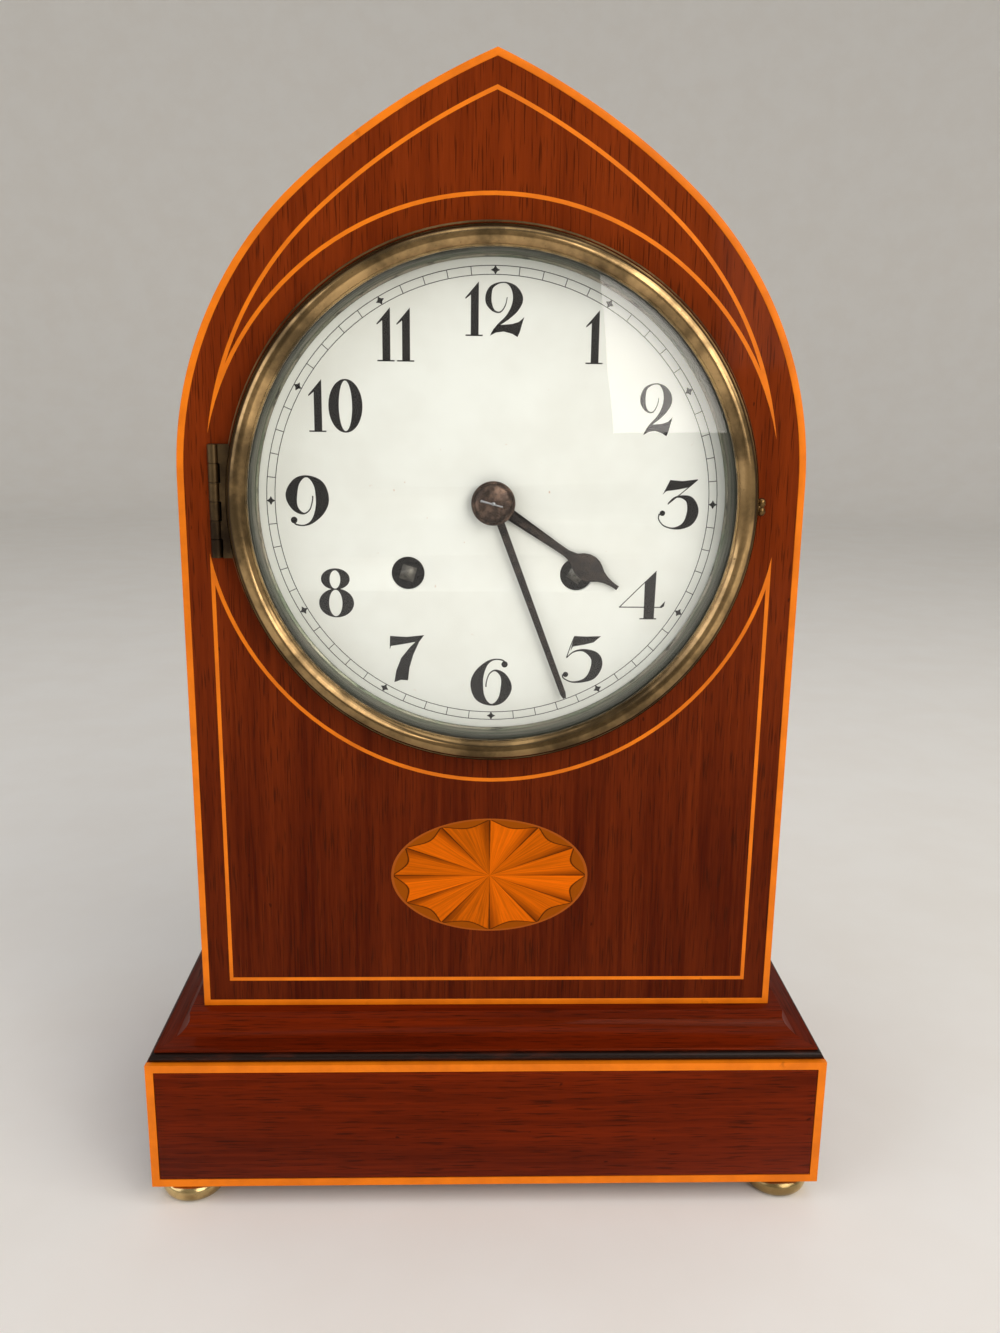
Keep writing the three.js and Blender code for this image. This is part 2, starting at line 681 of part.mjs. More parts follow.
function knuckles(x, y, count, swinging) {
  const ring = circle(HINGE_RADIUS, SMALL_STEPS, x, y);
  const bore = circle(HINGE_BORE, ROD_SIDES, x, y);
  const all = Array.from({ length: count }, (unused, row) => row);
  const rows = all.filter((row) => (row % 2 === 1) === swinging);
  return rows.map((row) => {
    const low = -HINGE_LENGTH / 2 + row * knucklePitch(count) + KNUCKLE_GAP / 2;
    const high = low + knucklePitch(count) - KNUCKLE_GAP;
    return { low, high, barrel: slab(ring, low, high, [bore]) };
  });
}

const clearOfBarrel = HINGE_RADIUS + KNUCKLE_GAP;

function bezelFixedLeaf() {
  const rows = knuckles(hingeX, hingeY, HINGE_KNUCKLES, false);
  const half = HINGE_LENGTH / 2;
  const leaf = block(hingeX - HINGE_RADIUS + INLAY_GAP, leafInner, 0, HINGE_LEAF, -half, half);
  const webs = rows.map(({ low, high }) => block(hingeX - HINGE_RADIUS / 2, hingeX + HINGE_RADIUS / 2,
    hingeY + HINGE_BORE + KNUCKLE_GAP, HINGE_LEAF / 2, low, high));
  return join(leaf, ...webs, ...rows.map((row) => row.barrel));
}

function bezelMovingLeaf() {
  const rows = knuckles(hingeX, hingeY, HINGE_KNUCKLES, true);
  const half = HINGE_LENGTH / 2;
  const inner = -(BEZEL_RADIUS + SEAT_GAP);
  const tail = inner + BEZEL_HALF;
  const front = bezelBack - HINGE_LEAF;
  const back = bezelBack;
  const leafEdge = rectangle(hingeX + clearOfBarrel, tail, -half, half);
  const bezelRoom = rod(BEZEL_RADIUS + SEAT_GAP, front - PAST, back + PAST, RING_STEPS);
  const leaf = cut(plate(leafEdge, front, back), bezelRoom);
  const webInner = hingeX + HINGE_BORE + KNUCKLE_GAP;
  const webOuter = hingeX + clearOfBarrel + KNUCKLE_GAP;
  const webs = rows.map(({ low, high }) => block(webInner, webOuter, front, back, low, high));
  return join(leaf, ...webs, ...rows.map((row) => row.barrel));
}

function hingePin(x, y) {
  const half = HINGE_LENGTH / 2;
  return closed(slab(circle(HINGE_PIN, ROD_SIDES, x, y), -half, half));
}

// Hands: drawn pointing at twelve, then turned clockwise
const clockwise = (points, angle) => points.map(([x, z]) => [
  x * Math.cos(angle) + z * Math.sin(angle),
  z * Math.cos(angle) - x * Math.sin(angle),
]);

const pipeRadius = ARBOR_RADIUS + RUNNING_GAP + CANNON_WALL;
const hourPipeRadius = pipeRadius + RUNNING_GAP + HOUR_PIPE_WALL;

function handPlate(half, angle, bore, front, back) {
  const blade = clockwise([...half, ...mirror(half)], angle);
  const hub = rod(HAND_HUB, front, back, DRUM_STEPS);
  const hole = rod(bore + RUNNING_GAP / 2, front - PAST, back + PAST, SMALL_STEPS);
  return cut(join(plate(blade, front, back), hub), hole);
}

function minuteHand() {
  const wide = MINUTE_HAND_WIDTH / 2;
  const half = [
    [wide, 0],
    [wide * 0.8, MINUTE_HAND_LENGTH - 3 * wide],
    [HAND_POINT, MINUTE_HAND_LENGTH],
  ];
  return handPlate(half, MINUTE_HAND_ANGLE, pipeRadius, minuteHandFront, minuteHandBack);
}

function hourHand() {
  const wide = HOUR_HAND_WIDTH / 2;
  const spade = HOUR_HAND_SPADE / 2;
  const shoulder = HOUR_HAND_LENGTH - 4 * spade;
  const cheek = arc(spade, -70 * DEGREE, 40 * DEGREE, BEND_STEPS, 0, shoulder + spade);
  const half = [
    [wide, 0], [wide, shoulder], ...cheek,
    [HOUR_HAND_NECK, HOUR_HAND_LENGTH - 1.3 * spade],
    [HAND_POINT, HOUR_HAND_LENGTH],
  ];
  return handPlate(half, HOUR_HAND_ANGLE, hourPipeRadius, hourHandFront, hourHandBack);
}

function handCollet() {
  const dome = arc(1, 0, Math.PI / 2, BEND_STEPS).map(([u, v]) => [
    COLLET_RADIUS * u,
    minuteHandFront - COLLET_HEIGHT * v,
  ]);
  dome[BEND_STEPS][0] = 0;
  return closed(turned([[0, minuteHandFront], ...dome], DRUM_STEPS));
}

// Back ring, door and straps, in depths from the case front
const backRingOuter = BACK_HOLE_RADIUS - SEAT_GAP;
const backRingInner = backRingOuter - BACK_RING_WALL;
const backFlangeRadius = BACK_HOLE_RADIUS + BACK_RING_FLANGE;
const lipFront = CASE_DEPTH - BACK_RING_DEPTH;
const backHingeX = -(backFlangeRadius + HINGE_STAND_OFF);
const backHingeY = CASE_DEPTH + HINGE_RADIUS + SEAT_GAP;

function backRing() {
  const ring = turned([
    [backRingInner - BACK_RING_LIP, lipFront], [backRingOuter, lipFront], [backRingOuter, CASE_DEPTH],
    [backFlangeRadius, CASE_DEPTH], [backFlangeRadius, CASE_DEPTH + SHEET],
    [backRingInner, CASE_DEPTH + SHEET],
    [backRingInner, lipFront + SHEET], [backRingInner - BACK_RING_LIP, lipFront + SHEET],
  ], RING_STEPS);
  const rows = knuckles(backHingeX, backHingeY, BACK_KNUCKLES, false);
  const webs = rows.map(({ low, high }) => block(backHingeX, -backFlangeRadius + BACK_RING_FLANGE / 2,
    CASE_DEPTH + INLAY_GAP, CASE_DEPTH + SHEET / 2, low, high));
  const pin = hingePin(backHingeX, backHingeY);
  const ringOutline = circle(HINGE_RADIUS, SMALL_STEPS, backHingeX, backHingeY);
  const barrels = rows.map(({ low, high }) => slab(ringOutline, low, high));
  return join(ring, ...webs, ...barrels, pin);
}

function backDoor() {
  const doorFront = CASE_DEPTH + SHEET + SEAT_GAP;
  const doorBack = doorFront + SHEET;
  const rim = backFlangeRadius - HINGE_STAND_OFF / 2;
  const dish = backRingInner - BACK_RING_LIP;
  const disc = turned([
    [0, doorFront + DOOR_DISH], [dish - DOOR_DISH, doorFront + DOOR_DISH], [dish, doorFront],
    [rim, doorFront], [rim, doorBack], [dish, doorBack],
    [dish - DOOR_DISH, doorBack + DOOR_DISH], [0, doorBack + DOOR_DISH],
  ], RING_STEPS);
  const rows = knuckles(backHingeX, backHingeY, BACK_KNUCKLES, true);
  const webs = rows.map(({ low, high }) => block(backHingeX + HINGE_BORE + KNUCKLE_GAP, -rim + BACK_RING_LIP,
    doorFront, doorFront + SHEET / 2, low, high));
  return join(disc, ...webs, ...rows.map((row) => row.barrel));
}

function strap(side) {
  const outer = backRingInner - BACK_RING_LIP / 4;
  const inner = outer - STRAP_THICKNESS;
  const toe = inner - STRAP_FOOT;
  const first = panFloorBack;
  const last = lipFront;
  const path = [
    [toe, first], [outer, first], [outer, last], [toe, last],
    [toe, last - STRAP_THICKNESS], [inner, last - STRAP_THICKNESS],
    [inner, first + STRAP_THICKNESS], [toe, first + STRAP_THICKNESS],
  ];
  const points = path.map(([x, y]) => [side * x, y]);
  return closed(slab(points, -STRAP_WIDTH / 2, STRAP_WIDTH / 2));
}

// Arbor places: each wheel meets the pinion that it drives at the sum of their pitch radii.
const pitchRadius = (teeth, module) => teeth * module / 2;
const meshDistance = (wheel, pinion, module) => pitchRadius(wheel + pinion, module);
const bearing = (from, to) => Math.atan2(to.z - from.z, to.x - from.x);
const distance = (from, to) => Math.hypot(to.x - from.x, to.z - from.z);

function stepTo(from, length, angle) {
  const [x, z] = polar(length, angle, from.x, from.z);
  return { x, z };
}

// The place at one distance from a first arbor and at another from a second, on the given side.
function meetingPlace(first, firstReach, second, secondReach, side) {
  const span = distance(first, second);
  const swing = Math.acos((firstReach ** 2 + span ** 2 - secondReach ** 2) / (2 * firstReach * span));
  return stepTo(first, firstReach, bearing(first, second) + side * swing);
}

const barrelReach = meshDistance(BARREL_TEETH, MAIN_PINION_LEAVES, BARREL_MODULE);
const secondReach = meshDistance(SECOND_TEETH, MAIN_PINION_LEAVES, SECOND_MODULE);
const centre = { x: 0, z: 0 };
const goingBarrelAt = { x: WINDING_SPREAD, z: -WINDING_DROP };
const strikeBarrelAt = { x: -WINDING_SPREAD, z: -WINDING_DROP };
const goingSecondAt = meetingPlace(goingBarrelAt, barrelReach, centre, secondReach, -1);
const strikeSecondAt = meetingPlace(strikeBarrelAt, barrelReach, centre,
  secondReach + STRIKE_SECOND_CLEARANCE, 1);
const escapeAt = { x: 0, z: ESCAPE_RISE };
const thirdAt = meetingPlace(centre, meshDistance(CENTRE_TEETH, FINE_PINION_LEAVES, CENTRE_MODULE),
  escapeAt, meshDistance(THIRD_TEETH, FINE_PINION_LEAVES, THIRD_MODULE), -1);
const anchorAt = { x: 0, z: ESCAPE_RISE + ANCHOR_RISE };
const pinWheelAt = stepTo(strikeSecondAt, secondReach, PIN_WHEEL_BEARING);
const warningAt = stepTo(pinWheelAt, meshDistance(PIN_WHEEL_TEETH, FINE_PINION_LEAVES, PIN_WHEEL_MODULE),
  WARNING_BEARING);
const flyAt = stepTo(warningAt, meshDistance(WARNING_TEETH, FINE_PINION_LEAVES, WARNING_MODULE),
  FLY_BEARING);
const minuteWheelAt = stepTo(centre, meshDistance(MINUTE_WHEEL_TEETH, CANNON_LEAVES, MOTION_MODULE),
  MOTION_BEARING);
const hammerAt = { x: HAMMER_X, z: HAMMER_RISE };
const clickRise = RATCHET_RADIUS + CLICK_PIVOT + CLICK_WIDTH / 2;
const clickAt = (barrelAt) => ({ x: barrelAt.x, z: barrelAt.z + clickRise });

// Depths of the wheels between the plates
const secondWheelFront = plateInner + SECOND_WHEEL_LAYER;
const lowPinionFront = plateInner + END_SHAKE;
const centreWheelFront = plateInner + CENTRE_WHEEL_LAYER;
const barrelFront = plateInner + BARREL_LAYER;
const pinWheelFront = plateInner + PIN_WHEEL_LAYER;
const warningWheelFront = plateInner + WARNING_WHEEL_LAYER;
const thirdWheelFront = backPlateFront - THIRD_WHEEL_LAYER;
const escapeWheelFront = backPlateFront - ESCAPE_WHEEL_LAYER;
const pinionRound = (wheelFront) => wheelFront - (PINION_LENGTH - WHEEL_THICKNESS) / 2;

// Teeth: pointed, one tip at the given bearing
function toothed(teeth, module, tipAngle) {
  const pitch = TURN / teeth;
  const radius = pitchRadius(teeth, module);
  const tip = radius + TOOTH_ADDENDUM * module;
  const root = radius - TOOTH_DEDENDUM * module;
  const points = [];
  for (let tooth = 0; tooth < teeth; tooth += 1) {
    const middle = tipAngle + tooth * pitch;
    points.push(polar(tip, middle));
    points.push(polar(root, middle + pitch / 2));
  }
  return points;
}

// Crossings: the four openings that leave a wheel its hub, spokes and rim.
function crossings(hub, rim, spoke) {
  const spokes = 4;
  return Array.from({ length: spokes }, (unused, turn) => {
    const middle = (turn + 0.5) * TURN / spokes;
    const reach = (radius) => TURN / spokes / 2 - Math.asin(spoke / 2 / radius);
    const far = arc(rim, middle - reach(rim), middle + reach(rim), 3);
    const near = arc(hub, middle + reach(hub), middle - reach(hub), 1);
    return [...far, ...near];
  });
}

function crossedWheel(teeth, module, tipAngle, front) {
  const rim = pitchRadius(teeth, module) - 4 * module;
  const openings = crossings(rim * 0.34, rim, rim * 0.2);
  return plate(toothed(teeth, module, tipAngle), front, front + WHEEL_THICKNESS, openings);
}

const pinion = (leaves, module, gapAngle, front, length = PINION_LENGTH) => plate(
  toothed(leaves, module, gapAngle + Math.PI / leaves), front, front + length);

// An arbor between the plates, with thinner pivots that run in them.
const arbor = (radius = ARBOR_RADIUS) => [
  rod(radius, plateInner + END_SHAKE, backPlateFront - END_SHAKE),
  rod(PIVOT_RADIUS, plateFront, backPlateBack),
];

const opposite = (from, to) => bearing(to, from);

function secondWheel(at, barrelAt, nextAt) {
  const wheel = crossedWheel(SECOND_TEETH, SECOND_MODULE, bearing(at, nextAt), secondWheelFront);
  const leaves = pinion(MAIN_PINION_LEAVES, BARREL_MODULE, opposite(barrelAt, at),
    barrelFront - (PINION_LENGTH - BARREL_RIM) / 2);
  return join(wheel, leaves, ...arbor());
}

function centreWheel() {
  const wheel = crossedWheel(CENTRE_TEETH, CENTRE_MODULE, bearing(centre, thirdAt), centreWheelFront);
  const leaves = pinion(MAIN_PINION_LEAVES, SECOND_MODULE, opposite(goingSecondAt, centre),
    lowPinionFront, LOW_PINION_LENGTH);
  const front = rod(ARBOR_RADIUS, minuteHandFront + END_SHAKE, plateInner + PAST);
  return join(wheel, leaves, front, ...arbor());
}

function thirdWheel() {
  const wheel = crossedWheel(THIRD_TEETH, THIRD_MODULE, bearing(thirdAt, escapeAt), thirdWheelFront);
  const leaves = pinion(FINE_PINION_LEAVES, CENTRE_MODULE, opposite(centre, thirdAt),
    pinionRound(centreWheelFront));
  return join(wheel, leaves, ...arbor(FINE_ARBOR_RADIUS));
}

function escapeWheel() {
  const pitch = TURN / ESCAPE_TEETH;
  const points = [];
  for (let tooth = 0; tooth < ESCAPE_TEETH; tooth += 1) {
    points.push(polar(ESCAPE_RADIUS, tooth * pitch));
    points.push(polar(ESCAPE_RADIUS - ESCAPE_TOOTH_DEPTH, (tooth + 0.3) * pitch));
  }
  const rim = ESCAPE_RADIUS - 2 * ESCAPE_TOOTH_DEPTH;
  const wheel = plate(points, escapeWheelFront, escapeWheelFront + WHEEL_THICKNESS,
    crossings(rim * 0.34, rim, rim * 0.2));
  const leaves = pinion(FINE_PINION_LEAVES, THIRD_MODULE, opposite(thirdAt, escapeAt),
    pinionRound(thirdWheelFront));
  return join(wheel, leaves, ...arbor(FINE_ARBOR_RADIUS));
}

function pinWheel() {
  const towards = bearing(pinWheelAt, warningAt);
  const wheel = crossedWheel(PIN_WHEEL_TEETH, PIN_WHEEL_MODULE, towards, pinWheelFront);
  const leaves = pinion(MAIN_PINION_LEAVES, SECOND_MODULE, opposite(strikeSecondAt, pinWheelAt),
    lowPinionFront, LOW_PINION_LENGTH);
  const pins = Array.from({ length: LIFTING_PINS }, (unused, turn) => {
    const [x, z] = polar(LIFTING_PIN_CIRCLE, turn * TURN / LIFTING_PINS);
    const front = pinWheelFront + WHEEL_THICKNESS / 2;
    const back = pinWheelFront + WHEEL_THICKNESS + LIFTING_PIN_LENGTH;
    return rod(LIFTING_PIN_RADIUS, front, back, ROD_SIDES, x, z);
  });
  return join(wheel, leaves, ...pins, ...arbor());
}

function warningWheel() {
  const wheel = crossedWheel(WARNING_TEETH, WARNING_MODULE, bearing(warningAt, flyAt), warningWheelFront);
  const leaves = pinion(FINE_PINION_LEAVES, PIN_WHEEL_MODULE, opposite(pinWheelAt, warningAt),
    pinionRound(pinWheelFront));
  return join(wheel, leaves, ...arbor(FINE_ARBOR_RADIUS));
}

function fly() {
  const leavesFront = pinionRound(warningWheelFront);
  const leaves = pinion(FINE_PINION_LEAVES, WARNING_MODULE, opposite(warningAt, flyAt), leavesFront);
  const vaneBack = leavesFront - FLY_STAND_OFF;
  const wide = FLY_WIDTH / 2;
  const thick = FLY_VANE / 2;
  const vane = block(-wide, wide, vaneBack - FLY_LENGTH, vaneBack, -thick, thick);
  return join(leaves, vane, ...arbor(FINE_ARBOR_RADIUS));
}

// Barrels and winding arbors
function barrel(at, nextAt) {
  const bore = BARREL_ARBOR + RUNNING_GAP;
  const teeth = toothed(BARREL_TEETH, BARREL_MODULE, bearing(at, nextAt));
  const gear = plate(teeth, barrelFront, barrelFront + BARREL_RIM);
  const drum = rod(BARREL_RADIUS, barrelFront, backPlateFront - BARREL_END_ROOM, DRUM_STEPS);
  const hole = rod(bore, barrelFront - PAST, backPlateFront, SMALL_STEPS);
  return cut(join(gear, drum), hole);
}

const ratchetFront = plateFront - END_SHAKE - WHEEL_THICKNESS;

function windingArbor() {
  const pitch = TURN / RATCHET_TEETH;
  const points = [];
  for (let tooth = 0; tooth < RATCHET_TEETH; tooth += 1) {
    points.push(polar(RATCHET_RADIUS, Math.PI / 2 + tooth * pitch));
    points.push(polar(RATCHET_RADIUS - RATCHET_DEPTH, Math.PI / 2 + (tooth + 0.12) * pitch));
  }
  const ratchet = plate(points, ratchetFront, ratchetFront + WHEEL_THICKNESS);
  const half = WINDING_SQUARE / 2;
  const square = block(-half, half, DIAL_DEPTH, ratchetFront + WHEEL_THICKNESS / 2, -half, half);
  const shaft = rod(BARREL_ARBOR, ratchetFront, backPlateFront - END_SHAKE, SMALL_STEPS);
  const pivot = rod(BARREL_PIVOT, backPlateFront - PAST, backPlateBack);
  return join(ratchet, square, shaft, pivot);
}

// The click hangs on its stud and its nose stands over the ratchet's teeth.
function click() {
  const wide = CLICK_WIDTH / 2;
  const lift = CLICK_PIVOT + wide - 2 * SEAT_GAP;
  const nose = [
    [0, wide], [-wide, 0], [0, -wide],
    [CLICK_HEEL, CLICK_HEEL_LIFT - lift], [CLICK_REACH, CLICK_NOSE_LIFT - lift],
    [CLICK_REACH, CLICK_BACK], [wide, wide * 0.8],
  ];
  const hole = rod(CLICK_PIVOT / 2 + RUNNING_GAP, ratchetFront - PAST, plateFront + PAST);
  return cut(plate(nose, ratchetFront, ratchetFront + WHEEL_THICKNESS), hole);
}

// Plates: pillars and dial feet are riveted into the front one.
const onPlate = (angles, inset) => angles.map((angle) => {
  const [x, z] = polar(PLATE_RADIUS - inset, angle * DEGREE);
  return { x, z };
});
const pillarPlaces = onPlate(PILLAR_ANGLES, PILLAR_INSET);
const dialFootPlaces = onPlate(DIAL_FOOT_ANGLES, DIAL_FOOT_INSET);
const pivotPlaces = [
  centre, goingSecondAt, strikeSecondAt, thirdAt, escapeAt, pinWheelAt, warningAt, flyAt, hammerAt,
];
const barrelPlaces = [goingBarrelAt, strikeBarrelAt];
const holeAt = (radius, steps) => (place) => circle(radius + RUNNING_GAP, steps, place.x, place.z);

function frontPlate() {
  const fine = [...pivotPlaces.slice(1), anchorAt].map(holeAt(PIVOT_RADIUS, ROD_SIDES));
  const centreHole = holeAt(ARBOR_RADIUS, ROD_SIDES)(centre);
  const holes = [...fine, centreHole, ...barrelPlaces.map(holeAt(BARREL_ARBOR, SMALL_STEPS))];
  const disc = plate(circle(PLATE_RADIUS, RING_STEPS), plateFront, plateInner, holes);
  const pillars = pillarPlaces.flatMap(({ x, z }) => [
    rod(PILLAR_RADIUS, plateInner - PAST, backPlateFront, SMALL_STEPS, x, z),
    rod(PILLAR_PIN, backPlateFront - PAST, backPlateBack + PILLAR_PIN, ROD_SIDES, x, z),
  ]);
  const studBack = plateFront + PAST;
  const feet = dialFootPlaces.map(({ x, z }) => rod(DIAL_FOOT_RADIUS, panFloorBack, studBack,
    ROD_SIDES, x, z));
  const minuteStud = rod(ARBOR_RADIUS, plateFront - MINUTE_STUD, studBack, ROD_SIDES,
    minuteWheelAt.x, minuteWheelAt.z);
  const clickStuds = barrelPlaces.map(clickAt).map(({ x, z }) => rod(CLICK_PIVOT / 2,
    ratchetFront - END_SHAKE, studBack, ROD_SIDES, x, z));
  return join(disc, ...pillars, ...feet, minuteStud, ...clickStuds);
}

function backPlate() {
  const fine = pivotPlaces.slice(0, -1).map(holeAt(PIVOT_RADIUS, ROD_SIDES));
  const through = [hammerAt, anchorAt].map(holeAt(ARBOR_RADIUS, ROD_SIDES));
  const holes = [...fine, ...through, ...barrelPlaces.map(holeAt(BARREL_PIVOT, SMALL_STEPS)),
    ...pillarPlaces.map(holeAt(PILLAR_PIN, ROD_SIDES))];
  return closed(plate(circle(PLATE_RADIUS, RING_STEPS), backPlateFront, backPlateBack, holes));
}

// Motion work between the pan and the front plate
const minuteWheelBack = plateFront - END_SHAKE;
const minuteWheelFront = minuteWheelBack - MOTION_WHEEL_THICKNESS;
const hourWheelBack = minuteWheelFront - END_SHAKE;
const hourWheelFront = hourWheelBack - MOTION_WHEEL_THICKNESS;

function cannonPinion() {
  const leaves = pinion(CANNON_LEAVES, MOTION_MODULE, bearing(centre, minuteWheelAt),
    minuteWheelFront, MOTION_WHEEL_THICKNESS);
  const pipe = rod(pipeRadius, minuteHandFront, minuteWheelBack, SMALL_STEPS);
  const boreRadius = ARBOR_RADIUS + RUNNING_GAP;
  const bore = rod(boreRadius, minuteHandFront - PAST, minuteWheelBack + PAST, SMALL_STEPS);
  return cut(join(leaves, pipe), bore);
}

function minuteWheel() {
  const wheel = plate(toothed(MINUTE_WHEEL_TEETH, MOTION_MODULE, opposite(centre, minuteWheelAt)),
    minuteWheelFront, minuteWheelBack);
  const leaves = plate(toothed(MINUTE_PINION_LEAVES, MOTION_MODULE, opposite(centre, minuteWheelAt)),
    hourWheelFront - MOTION_WHEEL_THICKNESS / 2, minuteWheelFront);
  const bore = rod(ARBOR_RADIUS + RUNNING_GAP, 0, plateFront);
  return cut(join(wheel, leaves), bore);
}

function hourWheel() {
  const gapAngle = bearing(centre, minuteWheelAt);
  const wheel = plate(toothed(HOUR_WHEEL_TEETH, MOTION_MODULE, gapAngle + Math.PI / HOUR_WHEEL_TEETH),
    hourWheelFront, hourWheelBack);
  const pipe = rod(hourPipeRadius, hourHandFront, hourWheelBack, SMALL_STEPS);
  const boreRadius = pipeRadius + RUNNING_GAP;
  const bore = rod(boreRadius, hourHandFront - PAST, hourWheelBack + PAST, SMALL_STEPS);
  return cut(join(wheel, pipe), bore);
}

// Escapement: the anchor straddles the escape wheel and its arbor carries the crutch behind the plate.
function anchor() {
  const tipRadius = ESCAPE_RADIUS + PALLET_CLEARANCE;
  const tip = polar(tipRadius, Math.PI / 2 - ANCHOR_SPREAD, 0, -ANCHOR_RISE);
  const heel = polar(tipRadius + PALLET_WIDTH, Math.PI / 2 - ANCHOR_SPREAD, 0, -ANCHOR_RISE);
  const right = [
    [0, ANCHOR_CROWN], [heel[0], heel[1] + PALLET_WIDTH / 2], heel,
    tip, [tip[0] - PALLET_WIDTH, tip[1] + PALLET_WIDTH], [0, -ANCHOR_BELLY],
  ];
  const arms = [...right, ...mirror(right).slice(1, -1)];
  const body = plate(arms, escapeWheelFront, escapeWheelFront + WHEEL_THICKNESS);
  const crutchFront = backPlateBack + END_SHAKE;
  const crutchBack = crutchFront + WHEEL_THICKNESS;
  const shaft = rod(FINE_ARBOR_RADIUS, plateInner + END_SHAKE, crutchBack);
  const pivot = rod(PIVOT_RADIUS, plateFront, plateInner + PAST);
  const wide = CRUTCH_WIDTH / 2;
  const reach = wide + ROD_RADIUS + CRUTCH_GAP;
  const yokeLow = -CRUTCH_LENGTH - CRUTCH_WIDTH;
  const arm = block(-wide, wide, crutchFront, crutchBack, -CRUTCH_LENGTH, wide);
  const yoke = block(-reach, reach, crutchFront, crutchBack, yokeLow, -CRUTCH_LENGTH);
  const prongAt = (left) => block(left, left + wide, crutchFront, pendulumPlane + ROD_RADIUS,
    yokeLow, -CRUTCH_LENGTH);
  return join(body, shaft, pivot, arm, yoke, prongAt(-reach), prongAt(reach - wide));
}

// Pendulum, measured down from the point where its spring bends
function suspensionCock() {
  const overCrutch = CRUTCH_WIDTH / 2 + 2 * SEAT_GAP;
  const jawHalf = SPRING_WIDTH / 2 + COCK_JAW_MARGIN;
  const jawBack = pendulumPlane + jawHalf;
  const half = COCK_WIDTH / 2;
  const footHalf = COCK_FOOT_WIDTH / 2;
  const armTop = overCrutch + COCK_ARM_HEIGHT;
  const foot = block(-footHalf, footHalf, backPlateBack, backPlateBack + PLATE_THICKNESS,
    overCrutch, overCrutch + COCK_FOOT_HEIGHT);
  const arm = block(-half, half, backPlateBack, jawBack, overCrutch, armTop);
  const jaw = block(-half, half, pendulumPlane - jawHalf, jawBack, 0, armTop);
  return join(foot, arm, jaw);
}

function suspensionSpring() {
  const half = SPRING_WIDTH / 2;
  return closed(block(-SPRING_STRIP / 2, SPRING_STRIP / 2, pendulumPlane - half, pendulumPlane + half,
    -SPRING_LENGTH, -INLAY_GAP));
}

function pendulumRod() {
  const top = -SPRING_LENGTH;
  const end = -PENDULUM_LENGTH - BOB_RADIUS - 2 * NUT_HEIGHT;
  const wire = turnedUpright([[0, end], [ROD_RADIUS, end], [ROD_RADIUS, top], [0, top]], ROD_SIDES);
  wire.translate(0, pendulumPlane, 0);
  const half = SPRING_WIDTH / 2;
  const hook = block(-ROD_RADIUS, ROD_RADIUS, pendulumPlane - half, pendulumPlane + half,
    top - CRUTCH_WIDTH, top);
  return join(wire, hook);
}

function uprightHole(radius, low, high) {
  const hole = turnedUpright([[0, low], [radius, low], [radius, high], [0, high]], ROD_SIDES);
  return hole.translate(0, pendulumPlane, 0);
}

function pendulumBob() {
  const half = BOB_THICKNESS / 2;
  const lens = (side) => [0, 0.5, 0.85].map((part) => [BOB_RADIUS * part, side * half * (1 - part * part)]);
  const edge = [[BOB_RADIUS, -BOB_EDGE / 2], [BOB_RADIUS, BOB_EDGE / 2]];
  const profile = [...lens(-1), ...edge, ...lens(1).reverse()];
  const disc = turned(profile, DRUM_STEPS).translate(0, pendulumPlane, -PENDULUM_LENGTH);
  return cut(disc, uprightHole(ROD_RADIUS + RUNNING_GAP, -PENDULUM_LENGTH - 2 * BOB_RADIUS, 0));
}

function ratingNut() {
  const top = -PENDULUM_LENGTH - BOB_RADIUS - SEAT_GAP;
  const low = top - NUT_HEIGHT;
  const points = circle(NUT_RADIUS, SMALL_STEPS, 0, pendulumPlane);
  return cut(slab(points, low, top), uprightHole(ROD_RADIUS + RUNNING_GAP, low - PAST, top + PAST));
}

// Gong: a flat spiral of round wire whose inner end is set into the stand's block.
const gongRadius = (angle) => GONG_INNER_RADIUS + GONG_PITCH * angle / TURN;

function gongCentreLine() {
  const steps = GONG_LOOPS * GONG_STEPS;
  const points = [[GONG_INNER_RADIUS, -2 * GONG_WIRE]];
  for (let step = 0; step <= steps; step += 1) {
    const angle = step * TURN / GONG_STEPS;
    points.push(polar(gongRadius(angle), angle));
  }
  return points;
}

function gong() {
  const line = gongCentreLine();
  const rings = line.map(([x, z], step) => {
    const before = line[Math.max(step - 1, 0)];
    const after = line[Math.min(step + 1, line.length - 1)];
    const angle = Math.atan2(after[1] - before[1], after[0] - before[0]) - Math.PI / 2;
    return circle(GONG_WIRE, GONG_SIDES).map(([across, deep]) => [
      x + across * Math.cos(angle), gongPlane + deep, z + across * Math.sin(angle)]);
  });
  return closed(loft(rings));
}

// The smallest gap between neighbouring loops, measured on the points of the centre line.
function gongGap() {
  const line = gongCentreLine();
  let least = Infinity;
  line.forEach((a, i) => line.forEach((b, j) => {
    if (j - i > GONG_STEPS / 2) {
      least = Math.min(least, Math.hypot(a[0] - b[0], a[1] - b[1]) - 2 * GONG_WIRE);
    }
  }));
  return least;
}

const floorBelowDial = -DIAL_HEIGHT;
const gongBlockTop = -2 * GONG_WIRE - SEAT_GAP;

function gongStand() {
  const postFront = gongPlane + GONG_WIRE + STAND_POST_GAP;
  const postBack = postFront + STAND_POST;
  const half = STAND_POST / 2;
  const middle = GONG_INNER_RADIUS;
  const low = floorBelowDial + GONG_DROP;
  const foot = block(middle - STAND_WIDTH / 2, middle + STAND_WIDTH / 2, postBack - STAND_DEPTH, postBack,
    low, low + STAND_THICKNESS);
  const post = block(middle - half, middle + half, postFront, postBack, low, gongBlockTop);
  const jaw = block(middle - half, middle + half, gongPlane - half, postBack,
    gongBlockTop - STAND_JAW, gongBlockTop);
  return join(foot, post, jaw);
}

